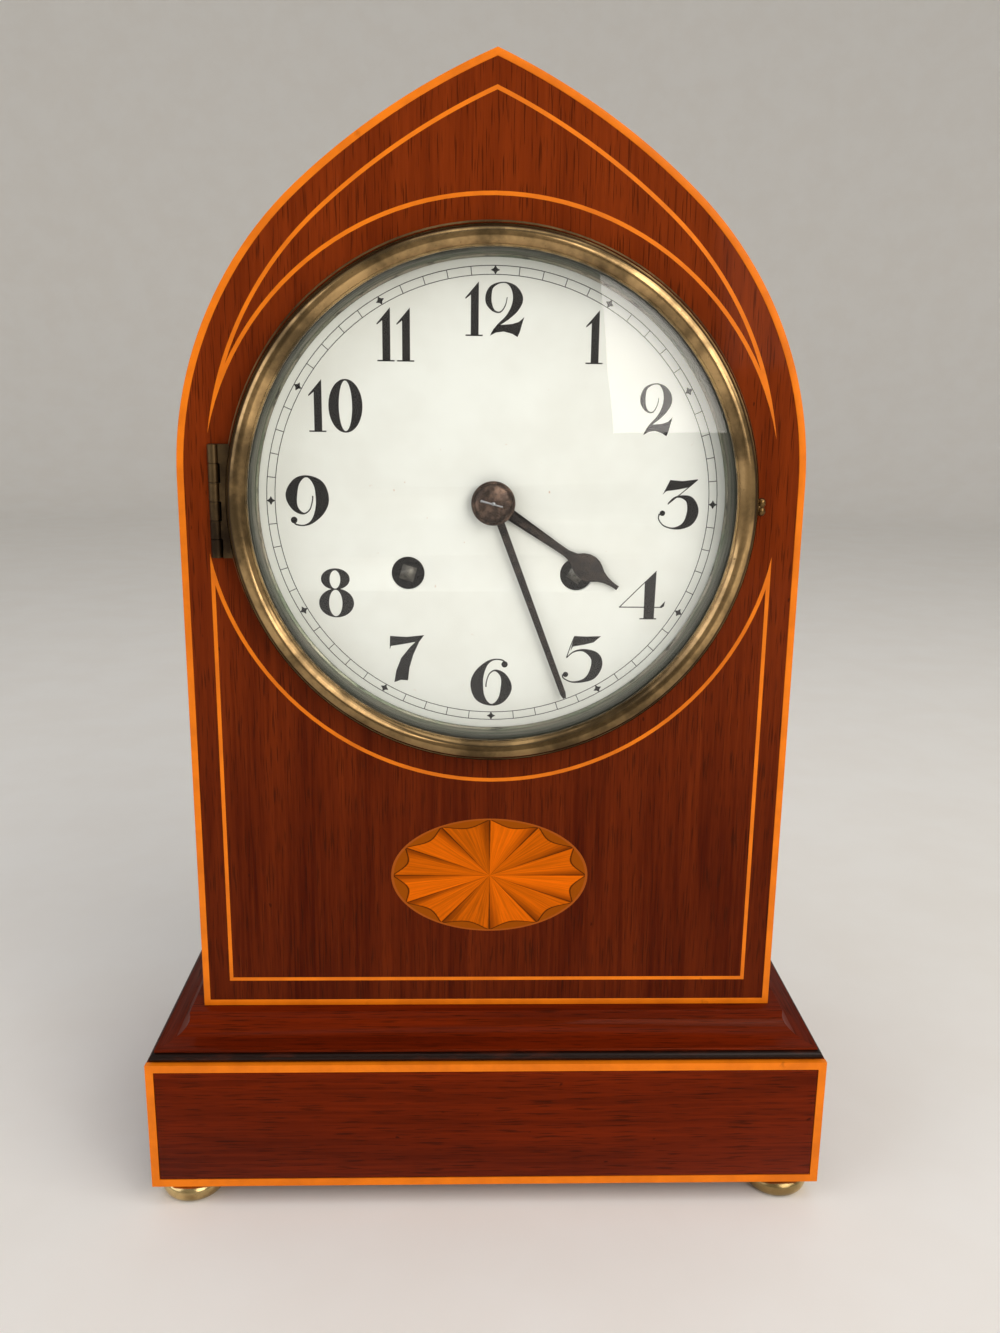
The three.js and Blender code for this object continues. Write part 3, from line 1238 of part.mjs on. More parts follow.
// Hammer: its arbor runs in the plates, and a bent arm carries the head to the gong's outer loop.
function hammer() {
  const tailAngle = bearing(hammerAt, pinWheelAt);
  const pinReach = LIFTING_PIN_CIRCLE + LIFTING_PIN_RADIUS + HAMMER_TAIL_CLEARANCE;
  const tailLength = distance(hammerAt, pinWheelAt) - pinReach;
  const tailFront = pinWheelFront + WHEEL_THICKNESS + SEAT_GAP;
  const tailHalf = HAMMER_TAIL_WIDTH / 2;
  const tail = block(0, tailLength, tailFront, tailFront + WHEEL_THICKNESS, -tailHalf, tailHalf);
  tail.rotateY(-tailAngle);
  const strikeX = -(gongRadius(TURN * (GONG_LOOPS - 0.5)) + GONG_WIRE + HAMMER_STAND_OFF) - hammerAt.x;
  const drop = -GONG_DROP - hammerAt.z;
  const headX = strikeX - HAMMER_HEAD_LENGTH / 2;
  const elbow = backPlateBack + PENDULUM_PLANE;
  const path = new THREE.CatmullRomCurve3([
    new THREE.Vector3(0, backPlateBack + HAMMER_ARM, 0),
    new THREE.Vector3(0, elbow, drop * 0.03),
    new THREE.Vector3(headX / 2, gongPlane, drop * 0.3),
    new THREE.Vector3(headX, gongPlane, drop * 0.7),
    new THREE.Vector3(headX, gongPlane, drop),
  ]);
  const section = outline(circle(HAMMER_ARM, ROD_SIDES));
  const sweep = { steps: SMALL_STEPS, extrudePath: path, bevelEnabled: false };
  const arm = new THREE.ExtrudeGeometry(section, sweep);
  const head = rod(HAMMER_HEAD_RADIUS, -HAMMER_HEAD_LENGTH / 2, HAMMER_HEAD_LENGTH / 2, SMALL_STEPS);
  head.rotateZ(Math.PI / 2);
  head.translate(headX, gongPlane, drop);
  const shaft = rod(FINE_ARBOR_RADIUS, plateInner + END_SHAKE, backPlateBack + 2 * HAMMER_ARM);
  const pivot = rod(PIVOT_RADIUS, plateFront, plateInner + PAST);
  return join(shaft, pivot, tail, arm, head);
}

// Assembly: the case group stands on the base, the works group is centred on the dial.
const clock = new THREE.Group();
const caseGroup = new THREE.Group();
caseGroup.position.set(0, caseFront, caseFoot);
const works = new THREE.Group();
works.position.set(0, 0, DIAL_HEIGHT);
caseGroup.add(works);
clock.add(caseGroup);

function add(group, name, geometry, material, at = centre) {
  const mesh = new THREE.Mesh(geometry, material);
  mesh.name = name;
  mesh.position.set(at.x, 0, at.z);
  group.add(mesh);
}

add(clock, 'base_plinth', basePlinth(), darkMahogany);
add(clock, 'base_stringing', baseStringing(), boxwood);
add(clock, 'base_top', baseTop(), darkMahogany);
add(clock, 'base_bead', baseBead(), ebonised);
const footX = baseHalf - FOOT_INSET;
const footY = baseDepth / 2 - FOOT_INSET;
for (const [row, y] of [['front', -footY], ['back', footY]]) {
  for (const [side, x] of [['left', -footX], ['right', footX]]) {
    const foot = new THREE.Mesh(bunFoot(), brass);
    foot.name = `foot_${row}_${side}`;
    foot.position.set(x, y, 0);
    clock.add(foot);
  }
}

add(caseGroup, 'case_front', caseFrontBoard(), mahogany);
add(caseGroup, 'side_left', caseSide(-1), mahogany);
add(caseGroup, 'side_right', caseSide(1), mahogany);
add(caseGroup, 'back_board', backBoard(), pine);
add(caseGroup, 'edge_stringing', closed(edgeBand), boxwood);
add(caseGroup, 'upper_panel_stringing', panelLine(0, PANEL_LINE_DEPTH, true), boxwood);
add(caseGroup, 'lower_panel_stringing', panelLine(0, PANEL_LINE_DEPTH, false), boxwood);
add(caseGroup, 'fan_patera', closed(plate(pateraOutline(0), 0, PATERA_DEPTH)), satinwood);

add(works, 'dial_pan', dialPan(), brass);
add(works, 'dial', dialDisc(), enamel);
add(works, 'bezel', bezelRing(), brass);
add(works, 'sight_ring', sightRing(), oldBrass);
add(works, 'glass', glassDome(), clearGlass);
add(works, 'bezel_hinge_fixed_leaf', bezelFixedLeaf(), oldBrass);
add(works, 'bezel_hinge_moving_leaf', bezelMovingLeaf(), oldBrass);
add(works, 'bezel_hinge_pin', hingePin(hingeX, hingeY), oldBrass);
add(works, 'minute_hand', minuteHand(), bronzedSteel);
add(works, 'hour_hand', hourHand(), bronzedSteel);
add(works, 'hand_collet', handCollet(), bronzedSteel);
add(works, 'back_ring', backRing(), brass);
add(works, 'back_door', backDoor(), brass);
add(works, 'strap_left', strap(-1), brass);
add(works, 'strap_right', strap(1), brass);

add(works, 'front_plate', frontPlate(), brass);
add(works, 'back_plate', backPlate(), brass);
add(works, 'going_barrel', barrel(goingBarrelAt, goingSecondAt), brass, goingBarrelAt);
add(works, 'strike_barrel', barrel(strikeBarrelAt, strikeSecondAt), brass, strikeBarrelAt);
add(works, 'going_winding_arbor', windingArbor(), steel, goingBarrelAt);
add(works, 'strike_winding_arbor', windingArbor(), steel, strikeBarrelAt);
add(works, 'going_click', click(), steel, clickAt(goingBarrelAt));
add(works, 'strike_click', click(), steel, clickAt(strikeBarrelAt));
add(works, 'going_second_wheel', secondWheel(goingSecondAt, goingBarrelAt, centre), brass, goingSecondAt);
add(works, 'strike_second_wheel', secondWheel(strikeSecondAt, strikeBarrelAt, pinWheelAt), brass,
  strikeSecondAt);
add(works, 'centre_wheel', centreWheel(), brass);
add(works, 'third_wheel', thirdWheel(), brass, thirdAt);
add(works, 'escape_wheel', escapeWheel(), brass, escapeAt);
add(works, 'anchor', anchor(), steel, anchorAt);
add(works, 'pin_wheel', pinWheel(), brass, pinWheelAt);
add(works, 'warning_wheel', warningWheel(), brass, warningAt);
add(works, 'fly', fly(), brass, flyAt);
add(works, 'cannon_pinion', cannonPinion(), steel);
add(works, 'minute_wheel', minuteWheel(), brass, minuteWheelAt);
add(works, 'hour_wheel', hourWheel(), brass);
add(works, 'suspension_cock', suspensionCock(), brass, anchorAt);
add(works, 'suspension_spring', suspensionSpring(), steel, anchorAt);
add(works, 'pendulum_rod', pendulumRod(), steel, anchorAt);
add(works, 'pendulum_bob', pendulumBob(), brass, anchorAt);
add(works, 'rating_nut', ratingNut(), brass, anchorAt);
add(works, 'hammer', hammer(), steel, hammerAt);
add(works, 'gong', gong(), steel, { x: 0, z: -GONG_DROP });
add(works, 'gong_stand', gongStand(), iron, { x: 0, z: -GONG_DROP });

console.log(`Least gap between the gong's loops: ${gongGap().toFixed(2)} mm`);

export default clock;
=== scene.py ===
"""The looks of a lancet mantel clock: polished mahogany, line inlay, brass and an enamel dial.

Every piece is in metres in the frame of the CAD model, with its place in its mesh.
"""

import json
import math

import bmesh
import bpy
from mathutils import Matrix, Vector

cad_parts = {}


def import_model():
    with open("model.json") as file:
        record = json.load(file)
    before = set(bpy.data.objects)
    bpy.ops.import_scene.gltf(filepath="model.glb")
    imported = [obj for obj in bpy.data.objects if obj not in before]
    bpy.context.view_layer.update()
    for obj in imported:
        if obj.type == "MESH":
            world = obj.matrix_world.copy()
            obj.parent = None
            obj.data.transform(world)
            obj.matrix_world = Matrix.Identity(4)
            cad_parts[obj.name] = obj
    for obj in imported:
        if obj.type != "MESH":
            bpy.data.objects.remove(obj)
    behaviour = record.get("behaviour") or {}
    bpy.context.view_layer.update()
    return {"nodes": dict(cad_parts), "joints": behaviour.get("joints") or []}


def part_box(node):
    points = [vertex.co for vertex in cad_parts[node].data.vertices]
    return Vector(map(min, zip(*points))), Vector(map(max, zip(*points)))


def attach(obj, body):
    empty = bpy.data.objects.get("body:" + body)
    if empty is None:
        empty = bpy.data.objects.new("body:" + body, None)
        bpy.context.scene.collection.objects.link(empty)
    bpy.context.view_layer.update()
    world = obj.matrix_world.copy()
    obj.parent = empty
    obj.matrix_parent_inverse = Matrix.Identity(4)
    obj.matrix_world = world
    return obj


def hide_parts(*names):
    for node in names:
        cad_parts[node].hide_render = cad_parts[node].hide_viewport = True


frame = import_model()

bl_info = {
    "name": "Lancet Mantel Clock",
    "version": (1, 0, 0),
    "blender": (4, 5, 0),
    "location": "View3D > Sidebar > Clock",
    "description": "Dresses the CAD model of a lancet mantel clock",
    "category": "Object",
}

MM = 0.001

# Places taken from the frame. Depths run from the front (-Y) to the back (+Y).
CASE_LOW, CASE_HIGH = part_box("case_front")
DIAL_LOW, DIAL_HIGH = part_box("dial")
PATERA_LOW, PATERA_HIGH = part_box("fan_patera")
BEZEL_LOW, BEZEL_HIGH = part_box("bezel")
GLASS_LOW, GLASS_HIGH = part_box("glass")
SIGHT_LOW, SIGHT_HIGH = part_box("sight_ring")
PAN_LOW, PAN_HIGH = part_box("dial_pan")
RING_LOW, RING_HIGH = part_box("back_ring")
DOOR_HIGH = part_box("back_door")[1]
GONG_LOW, GONG_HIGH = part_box("gong")
CASE_FRONT = CASE_LOW.y
DIAL_FRONT = DIAL_LOW.y
DIAL_Z = (DIAL_LOW.z + DIAL_HIGH.z) / 2
DIAL_RADIUS = DIAL_HIGH.z - DIAL_Z
BEZEL_RADIUS = BEZEL_HIGH.z - DIAL_Z
BEZEL_BACK = BEZEL_HIGH.y
CENTRE = Vector((0, 0, DIAL_Z))

# Steps round a full circle for large, middling and small round pieces
ROUND = 128
DRUM = 48
SMALL = 24


def linear(code):
    """The linear colour, with alpha, of an sRGB hex value."""
    parts = [int(code[place:place + 2], 16) / 255 for place in (1, 3, 5)]
    return tuple(c / 12.92 if c <= 0.04045 else ((c + 0.055) / 1.055) ** 2.4 for c in parts) + (1.0,)


def length(title, words, millimetres):
    """A length property, given in millimetres."""
    return bpy.props.FloatProperty(name=title, description=words, default=millimetres * MM, unit="LENGTH")


def colour(title, words, code):
    """A colour property, given as an sRGB hex value."""
    return bpy.props.FloatVectorProperty(
        name=title, description=words, default=linear(code), size=4, subtype="COLOR", min=0, max=1)


class ClockSizes(bpy.types.PropertyGroup):
    """Sizes that a user may change without changing the CAD model."""
    numeral_height: length("Numeral height", "Height of the painted hour numerals", 14.2)
    numeral_circle: length("Numeral circle", "Radius of the circle of numeral centres", 52.3)
    track_inner: length("Track inner radius", "Inner circle of the minute track", 61.3)
    track_outer: length("Track outer radius", "Outer circle of the minute track", 63.6)
    track_line: length("Track line", "Width of the minute track's painted lines", 0.2)
    diamond: length("Five-minute diamond", "Half the height of a five-minute mark", 1.25)
    paint: length("Paint thickness", "How far the dial's paint stands off the enamel", 0.03)
    arris: length("Arris", "Rounding of the case's wooden corners", 0.35)
    screw_head: length("Screw head", "Radius of the back ring's screw heads", 2.3)
    fan_rays: bpy.props.IntProperty(
        name="Fan rays", description="Segments of the inlaid fan", default=12, min=4, max=24)


class ClockColours(bpy.types.PropertyGroup):
    """Colours of the clock's finishes."""
    veneer_light: colour("Veneer, light", "Light ribbons of the front veneer", "#82320e")
    veneer_dark: colour("Veneer, dark", "Dark ribbons of the front veneer", "#420e03")
    base_light: colour("Base, light", "Light ribbons of the base", "#8a2a07")
    base_dark: colour("Base, dark", "Dark ribbons of the base", "#4c1203")
    stringing: colour("Stringing", "Boxwood lines under old polish", "#f48012")
    satinwood: colour("Satinwood", "Light side of each fan segment", "#f67006")
    enamel: colour("Enamel", "Fired white dial", "#f6fbf4")
    brass: colour("Brass", "Clean places of the bezel", "#bb9a6a")
    patina: colour("Patina", "Dulled places of the bezel", "#604f36")
    verdigris: colour("Verdigris", "Green streaks in the sight ring", "#626f59")


# Nodes and finishes

MIX = "ShaderNodeMix"
MATH = "ShaderNodeMath"
SPREAD = "ShaderNodeMapRange"
RGB = {"out": 2, "data_type": "RGBA"}
SOFT = {"interpolation_type": "SMOOTHSTEP"}


def add(tree, kind, inputs=None, out=0, **settings):
    """Adds a node, sets its inputs or links each to a socket or a list of them, and returns one of its
    output sockets."""
    made = tree.nodes.new(kind)
    for name, value in settings.items():
        setattr(made, name, value)
    for key, value in (inputs or {}).items():
        for part in value if isinstance(value, list) else [value]:
            if isinstance(part, bpy.types.NodeSocket):
                tree.links.new(part, made.inputs[key])
            else:
                made.inputs[key].default_value = part
    return made.outputs[out] if made.outputs else made


def new_finish(name):
    """A new material, its empty tree and its object coordinates."""
    made = bpy.data.materials.new(name)
    made.use_nodes = True
    tree = made.node_tree
    tree.nodes.clear()
    return made, tree, add(tree, "ShaderNodeTexCoord", out="Object")


def surface(made, inputs):
    """A material whose tree is ended in one shader."""
    shader = add(made.node_tree, "ShaderNodeBsdfPrincipled", inputs)
    add(made.node_tree, "ShaderNodeOutputMaterial", {"Surface": shader})
    return made


def patches(tree, where, size, low, high, most=1.0, detail=3.0):
    """Soft patches with features of a size in millimetres along x, y and z: none where the noise
    is under low, and most where it is over high."""
    scale = tuple(1 / (MM * side) for side in size)
    scaled = add(tree, "ShaderNodeMapping", {"Vector": where, "Scale": scale})
    cloud = add(tree, "ShaderNodeTexNoise", {
        "Vector": scaled, "Scale": 1.0, "Detail": detail, "Roughness": 0.6})
    return add(tree, SPREAD, {0: cloud, 1: low, 2: high, 3: 0.0, 4: most}, **SOFT)


def sizes():
    """The sizes that a user may change."""
    return bpy.context.scene.clock_sizes


def chosen(name):
    """One of the colours that a user may change."""
    return tuple(getattr(bpy.context.scene.clock_colours, name))


def mahogany(name, light, dark, deep, paler_from=None, paler_to=None):
    """French-polished mahogany veneer: quiet ribbons, short dark pores along the grain, a few knocks
    and a clear gloss. The case is paler towards its top, partly the veneer's own tone and partly painted
    light that stands in for the brighter light on its upper part. Its patterns are sized across and along
    the grain."""
    made, tree, where = new_finish(name)
    grain = add(tree, "ShaderNodeUVMap", uv_map="grain")
    ribbons = patches(tree, grain, (9, 160, 1), 0.3, 0.7, 0.32, 4)
    fibres = patches(tree, grain, (1.2, 45, 1), 0.34, 0.66, 0.2)
    tone = add(tree, MATH, {0: ribbons, 1: fibres}, operation="ADD")
    if paler_to:
        # Partly the veneer's tone and partly painted light: paler towards the top of the case.
        height = add(tree, "ShaderNodeSeparateXYZ", {"Vector": where}, "Z")
        top_tone_and_painted_light = add(tree, SPREAD, {0: height, 1: paler_from, 2: paler_to, 3: -0.04, 4: 0.46}, **SOFT)
        tone = add(tree, MATH, {0: tone, 1: top_tone_and_painted_light}, operation="ADD", use_clamp=True)
    wood = add(tree, MIX, {0: tone, 6: chosen(dark), 7: chosen(light)}, **RGB)
    # Real pores are under 0.2 mm wide, so they are drawn twice as wide to show.
    pores = patches(tree, grain, (0.45, 12, 1), 0.55, 0.68, 0.6, 1)
    knocks = patches(tree, grain, (3, 5, 1), 0.76, 0.8, 0.7, 1)
    marks = add(tree, MATH, {0: pores, 1: knocks}, operation="MAXIMUM")
    return surface(made, {
        "Base Color": add(tree, MIX, {0: marks, 6: wood, 7: linear(deep)}, **RGB),
        "Roughness": add(tree, SPREAD, {0: marks, 1: 0.0, 2: 1.0, 3: 0.34, 4: 0.5}),
        "Normal": add(tree, "ShaderNodeBump", {"Height": marks, "Strength": 0.15, "Distance": -0.1 * MM}),
        "Specular IOR Level": 0.08, "Specular Tint": linear("#f0a060"), "Coat Weight": 0.05,
        "Coat Roughness": 0.06})


def boxwood():
    """Boxwood stringing under old polish: clear orange, with faint grain and darker rubbed spots."""
    made, tree, where = new_finish("boxwood stringing")
    grain = patches(tree, where, (11, 11, 11), 0.3, 0.7)
    rubbed = patches(tree, where, (9, 9, 13), 0.68, 0.8, 0.6, 4)
    wood = add(tree, MIX, {0: grain, 6: linear("#df7211"), 7: chosen("stringing")}, **RGB)
    return surface(made, {
        "Base Color": add(tree, MIX, {0: rubbed, 6: wood, 7: linear("#7d390a")}, **RGB),
        "Roughness": 0.38, "Specular IOR Level": 0.14})


def satinwood_fan():
    """Satinwood fan: each segment scorched in hot sand along one edge, so that it seems to turn,
    with scallops of browner wood at the rim and fine dark glue lines."""
    made, tree = new_finish("satinwood fan")[:2]
    chart = add(tree, "ShaderNodeUVMap", uv_map="fan")
    place = add(tree, "ShaderNodeSeparateXYZ", {"Vector": chart})
    out = place.node.outputs["Y"]
    across = add(tree, MATH, {0: place}, operation="FRACT")
    segment = add(tree, MATH, {0: place}, operation="FLOOR")
    # The scorch starts at a segment's first edge and grows towards the rim.
    beside = add(tree, SPREAD, {0: across, 1: 0.0, 2: 0.34, 3: 0.75, 4: 0.0}, **SOFT)
    burnt = add(tree, SPREAD, {0: out, 1: 0.1, 2: 0.95, 3: 0.35, 4: 1.0}, **SOFT)
    scorch = add(tree, MATH, {0: beside, 1: burnt}, operation="MULTIPLY")
    half_turn = add(tree, MATH, {0: across, 1: math.pi}, operation="MULTIPLY")
    bow = add(tree, MATH, {0: half_turn}, operation="SINE")
    scallop = add(tree, MATH, {0: bow, 1: -0.125, 2: 0.985}, operation="MULTIPLY_ADD")
    past = add(tree, MATH, {0: out, 1: scallop}, operation="SUBTRACT")
    outside = add(tree, SPREAD, {0: past, 1: -0.004, 2: 0.004, 3: 0.0, 4: 1.0}, **SOFT)
    from_edge = add(tree, MATH, {0: past}, operation="ABSOLUTE")
    edge = add(tree, SPREAD, {0: from_edge, 1: 0.004, 2: 0.013, 3: 0.8, 4: 0.0}, **SOFT)
    beyond = add(tree, MATH, {0: across, 1: 0.5}, operation="SUBTRACT")
    off_centre = add(tree, MATH, {0: beyond}, operation="ABSOLUTE")
    ray = add(tree, SPREAD, {0: off_centre, 1: 0.465, 2: 0.497, 3: 0.0, 4: 0.8}, **SOFT)
    lines = add(tree, MATH, {0: edge, 1: ray}, operation="MAXIMUM")
    # The golden section gives neighbouring segments unlike tones.
    spaced = add(tree, MATH, {0: segment, 1: 0.618}, operation="MULTIPLY")
    own = add(tree, MATH, {0: spaced}, operation="FRACT")
    # The fan's map counts segments, so its streaks are in thousandths of one: about 1 mm wide at the rim.
    grain = patches(tree, chart, (70, 900, 1000), 0.3, 0.72, 0.5)
    tone = add(tree, MATH, {0: own, 1: 0.5, 2: grain}, operation="MULTIPLY_ADD")
    wood = add(tree, MIX, {0: tone, 6: linear("#a44e05"), 7: chosen("satinwood")}, **RGB)
    scorched = add(tree, MIX, {0: scorch, 6: wood, 7: linear("#5a2405")}, **RGB)
    rimmed = add(tree, MIX, {0: outside, 6: scorched, 7: linear("#984a08")}, **RGB)
    lined = add(tree, MIX, {0: lines, 6: rimmed, 7: linear("#2c1104")}, **RGB)
    border = add(tree, SPREAD, {0: out, 1: 0.972, 2: 0.978, 3: 0.0, 4: 1.0}, **SOFT)
    return surface(made, {
        "Base Color": add(tree, MIX, {0: border, 6: lined, 7: linear("#a5521a")}, **RGB),
        "Roughness": 0.36, "Specular IOR Level": 0.1, "Specular Tint": linear("#f0a060")})


def ebonised():
    """Ebonised pear: black stain with brown rubbed through, under polish."""
    made, tree, where = new_finish("ebonised pear")
    rubbed = patches(tree, where, (14, 6, 3), 0.5, 0.76, 0.75, 4)
    return surface(made, {
        "Base Color": add(tree, MIX, {0: rubbed, 6: linear("#1a0c07"), 7: linear("#43190a")}, **RGB),
        "Roughness": 0.34, "Specular IOR Level": 0.14, "Coat Weight": 0.06})


def stained_pine():
    """Stained pine back board: dull brown, with upright bands of growth and fine resin streaks."""
    made, tree, where = new_finish("stained pine")
    bands = patches(tree, where, (3.2, 3.2, 80), 0.3, 0.7, 1.0, 5)
    streaks = patches(tree, where, (0.6, 0.6, 14), 0.57, 0.68, 0.6, 1)
    wood = add(tree, MIX, {0: bands, 6: linear("#5b351a"), 7: linear("#8a5c32")}, **RGB)
    return surface(made, {
        "Base Color": add(tree, MIX, {0: streaks, 6: wood, 7: linear("#38200f")}, **RGB),
        "Roughness": add(tree, SPREAD, {0: streaks, 1: 0.0, 2: 1.0, 3: 0.5, 4: 0.7}),
        "Normal": add(tree, "ShaderNodeBump", {"Height": streaks, "Strength": 0.3, "Distance": -0.1 * MM})})


def tarnish(tree, where):
    """Clouds of patina and dark specks on old brass."""
    clouds = patches(tree, where, (16, 16, 16), 0.34, 0.66, 1.0, 5)
    specks = patches(tree, where, (1.1, 1.1, 1.1), 0.62, 0.78, 0.6)
    return clouds, specks


def dulled_brass(name, clean, dull, low, high):
    """Spun and lacquered brass gone dull: cloudy brown patina and dark specks, brighter where it is
    rubbed. Its roughness runs from low to high."""
    made, tree, where = new_finish(name)
    clouds, specks = tarnish(tree, where)
    metal = add(tree, MIX, {0: clouds, 6: linear(clean), 7: linear(dull)}, **RGB)
    worn = add(tree, MATH, {0: clouds, 1: specks}, operation="ADD")
    return surface(made, {
        "Base Color": add(tree, MIX, {0: specks, 6: metal, 7: linear("#3d2f1a")}, **RGB),
        "Roughness": add(tree, SPREAD, {0: worn, 1: 0.0, 2: 1.5, 3: low, 4: high}),
        "Metallic": 1.0})


def bezel_brass():
    """Spun brass of the bezel: gold on its crown and brown in cloudy patches, with dark specks. It is
    darkened by painted shade down its flanks, in its groove and towards its foot, which also stands in
    for dark reflections."""
    made, tree, where = new_finish("dulled brass")
    clouds, specks = tarnish(tree, where)
    depth = add(tree, "ShaderNodeSeparateXYZ", {"Vector": where}, "Y")
    height = depth.node.outputs["Z"]
    # Painted shade: darker down the bezel's outer flank, towards the case.
    painted_side_shade = add(tree, SPREAD, {
        0: depth, 1: BEZEL_LOW.y + 0.8 * MM, 2: BEZEL_BACK - 0.8 * MM, 3: 0.0, 4: 0.8}, **SOFT)
    flat = add(tree, "ShaderNodeVectorMath", {0: where, 1: (1, 0, 1)}, operation="MULTIPLY")
    radius = add(tree, "ShaderNodeVectorMath", {0: flat, 1: (0, 0, DIAL_Z)}, "Value", operation="DISTANCE")
    # Painted shade in the bezel's groove.
    beyond = add(tree, MATH, {0: radius, 1: GROOVE_RADIUS}, operation="SUBTRACT")
    aside = add(tree, MATH, {0: beyond}, operation="ABSOLUTE")
    groove = add(tree, SPREAD, {0: aside, 1: 0.3 * MM, 2: 0.8 * MM, 3: 0.9, 4: 0.0}, **SOFT)
    # Painted shade and dark painted reflection towards the foot of the bezel.
    foot = add(tree, SPREAD, {
        0: height, 1: BEZEL_LOW.z + 3 * MM, 2: BEZEL_LOW.z + 42 * MM, 3: 0.45, 4: 0.0}, **SOFT)
    # The real dark specks and the painted shade both darken the brass towards a dark brown.
    specks_and_painted_shade = specks
    for layer in (painted_side_shade, groove, foot):
        specks_and_painted_shade = add(tree, MATH, {0: specks_and_painted_shade, 1: layer}, operation="MAXIMUM")
    metal = add(tree, MIX, {0: clouds, 6: chosen("brass"), 7: chosen("patina")}, **RGB)
    return surface(made, {
        "Base Color": add(tree, MIX, {0: specks_and_painted_shade, 6: metal, 7: linear("#352716")}, **RGB),
        "Roughness": add(tree, SPREAD, {0: clouds, 1: 0.0, 2: 1.0, 3: 0.1, 4: 0.24}),
        "Metallic": 1.0})


def verdigris_brass():
    """Old brass in the sight ring: grey and half bright, with green corrosion in streaks that run round the
    ring and dark soiled spots. Painted shade darkens it towards its front, under the bezel."""
    made, tree, where = new_finish("verdigris brass")
    streaks = patches(tree, where, (18, 0.9, 18), 0.4, 0.64, 0.9, 5)
    spots = patches(tree, where, (5, 0.7, 5), 0.52, 0.7, 0.85, 4)
    depth = add(tree, "ShaderNodeSeparateXYZ", {"Vector": where}, "Y")
    # Painted shade: darker towards the ring's front, in the recess under the bezel's lip.
    painted_shade_under_bezel = add(tree, SPREAD, {
        0: depth, 1: SIGHT_LOW.y + 0.3 * MM, 2: SIGHT_HIGH.y - 0.2 * MM, 3: 0.9, 4: 0.0}, **SOFT)
    spots_and_painted_shade = add(tree, MATH, {0: spots, 1: painted_shade_under_bezel}, operation="MAXIMUM")
    # The real soiled spots and the painted shade both darken the ring towards a near black.
    metal = add(tree, MIX, {0: streaks, 6: linear("#8c8676"), 7: chosen("verdigris")}, **RGB)
    return surface(made, {
        "Base Color": add(tree, MIX, {0: spots_and_painted_shade, 6: metal, 7: linear("#26271f")}, **RGB),
        "Roughness": add(tree, SPREAD, {0: streaks, 1: 0.0, 2: 1.0, 3: 0.3, 4: 0.6}),
        "Metallic": 0.75})


def fired_enamel():
    """Fired enamel on copper: white and glassy, faintly clouded, with rust specks round the centre."""
    made, tree, where = new_finish("fired enamel")
    clouds = patches(tree, where, (30, 30, 30), 0.35, 0.7)
    white = add(tree, MIX, {0: clouds, 6: chosen("enamel"), 7: linear("#eff3eb")}, **RGB)
    axis = add(tree, "ShaderNodeVectorMath", {0: where, 1: (0, DIAL_FRONT, DIAL_Z)}, "Value",
               operation="DISTANCE")
    near = add(tree, SPREAD, {0: axis, 1: 14 * MM, 2: 46 * MM, 3: 1.0, 4: 0.15}, **SOFT)
    specks = patches(tree, where, (2.4, 2.4, 2.4), 0.71, 0.78, 0.6, 2)
    rust = add(tree, MATH, {0: specks, 1: near}, operation="MULTIPLY")
    return surface(made, {
        "Base Color": add(tree, MIX, {0: rust, 6: white, 7: linear("#c0813f")}, **RGB),
        "Roughness": 0.3, "Specular IOR Level": 0.25})


def dial_paint():
    """Stove-fired black paint: dense, faintly worn, with a low gloss."""
    made, tree, where = new_finish("fired black paint")
    worn = patches(tree, where, (1.6, 1.6, 1.6), 0.62, 0.8, 0.3, 4)
    return surface(made, {
        "Base Color": add(tree, MIX, {0: worn, 6: linear("#0d0c0b"), 7: linear("#4a463f")}, **RGB),
        "Roughness": 0.45, "Specular IOR Level": 0.25})


def bronzed_steel(name, sound, rubbed):
    """Bronzed steel: brown-black, and browner where many settings have rubbed it."""
    made, tree, where = new_finish(name)
    wear = patches(tree, where, (2.4, 2.4, 2.4), 0.42, 0.72, 1.0, 5)
    return surface(made, {
        "Base Color": add(tree, MIX, {0: wear, 6: linear(sound), 7: linear(rubbed)}, **RGB),
        "Roughness": add(tree, SPREAD, {0: wear, 1: 0.0, 2: 1.0, 3: 0.32, 4: 0.52}),
        "Metallic": 0.8})


def grey_steel(name, light, dark):
    """Turned steel: grey, with faint oil staining."""
    made, tree, where = new_finish(name)
    stain = patches(tree, where, (6, 6, 6), 0.42, 0.72, 1.0, 4)
    return surface(made, {
        "Base Color": add(tree, MIX, {0: stain, 6: linear(light), 7: linear(dark)}, **RGB),
        "Roughness": add(tree, SPREAD, {0: stain, 1: 0.0, 2: 1.0, 3: 0.28, 4: 0.46}),
        "Metallic": 1.0})


def winding_steel():
    """Winding arbors: bright where the key rubs the square, and nearly black behind the dial's face, a
    painted shade inside the winding holes.
    """
    made, tree, where = new_finish("oiled steel")
    depth = add(tree, "ShaderNodeSeparateXYZ", {"Vector": where}, "Y")
    # Painted shade: black behind the dial's face, inside the winding holes.
    behind = add(tree, SPREAD, {
        0: depth, 1: DIAL_FRONT + 0.1 * MM, 2: DIAL_FRONT + 0.6 * MM, 3: 0.0, 4: 0.97}, **SOFT)
    stain = patches(tree, where, (1.5, 1.5, 1.5), 0.4, 0.7)
    steel = add(tree, MIX, {0: stain, 6: linear("#6d6b62"), 7: linear("#3f3e38")}, **RGB)
    return surface(made, {
        "Base Color": add(tree, MIX, {0: behind, 6: steel, 7: linear("#14120f")}, **RGB),
        "Roughness": 0.42, "Metallic": 0.7})


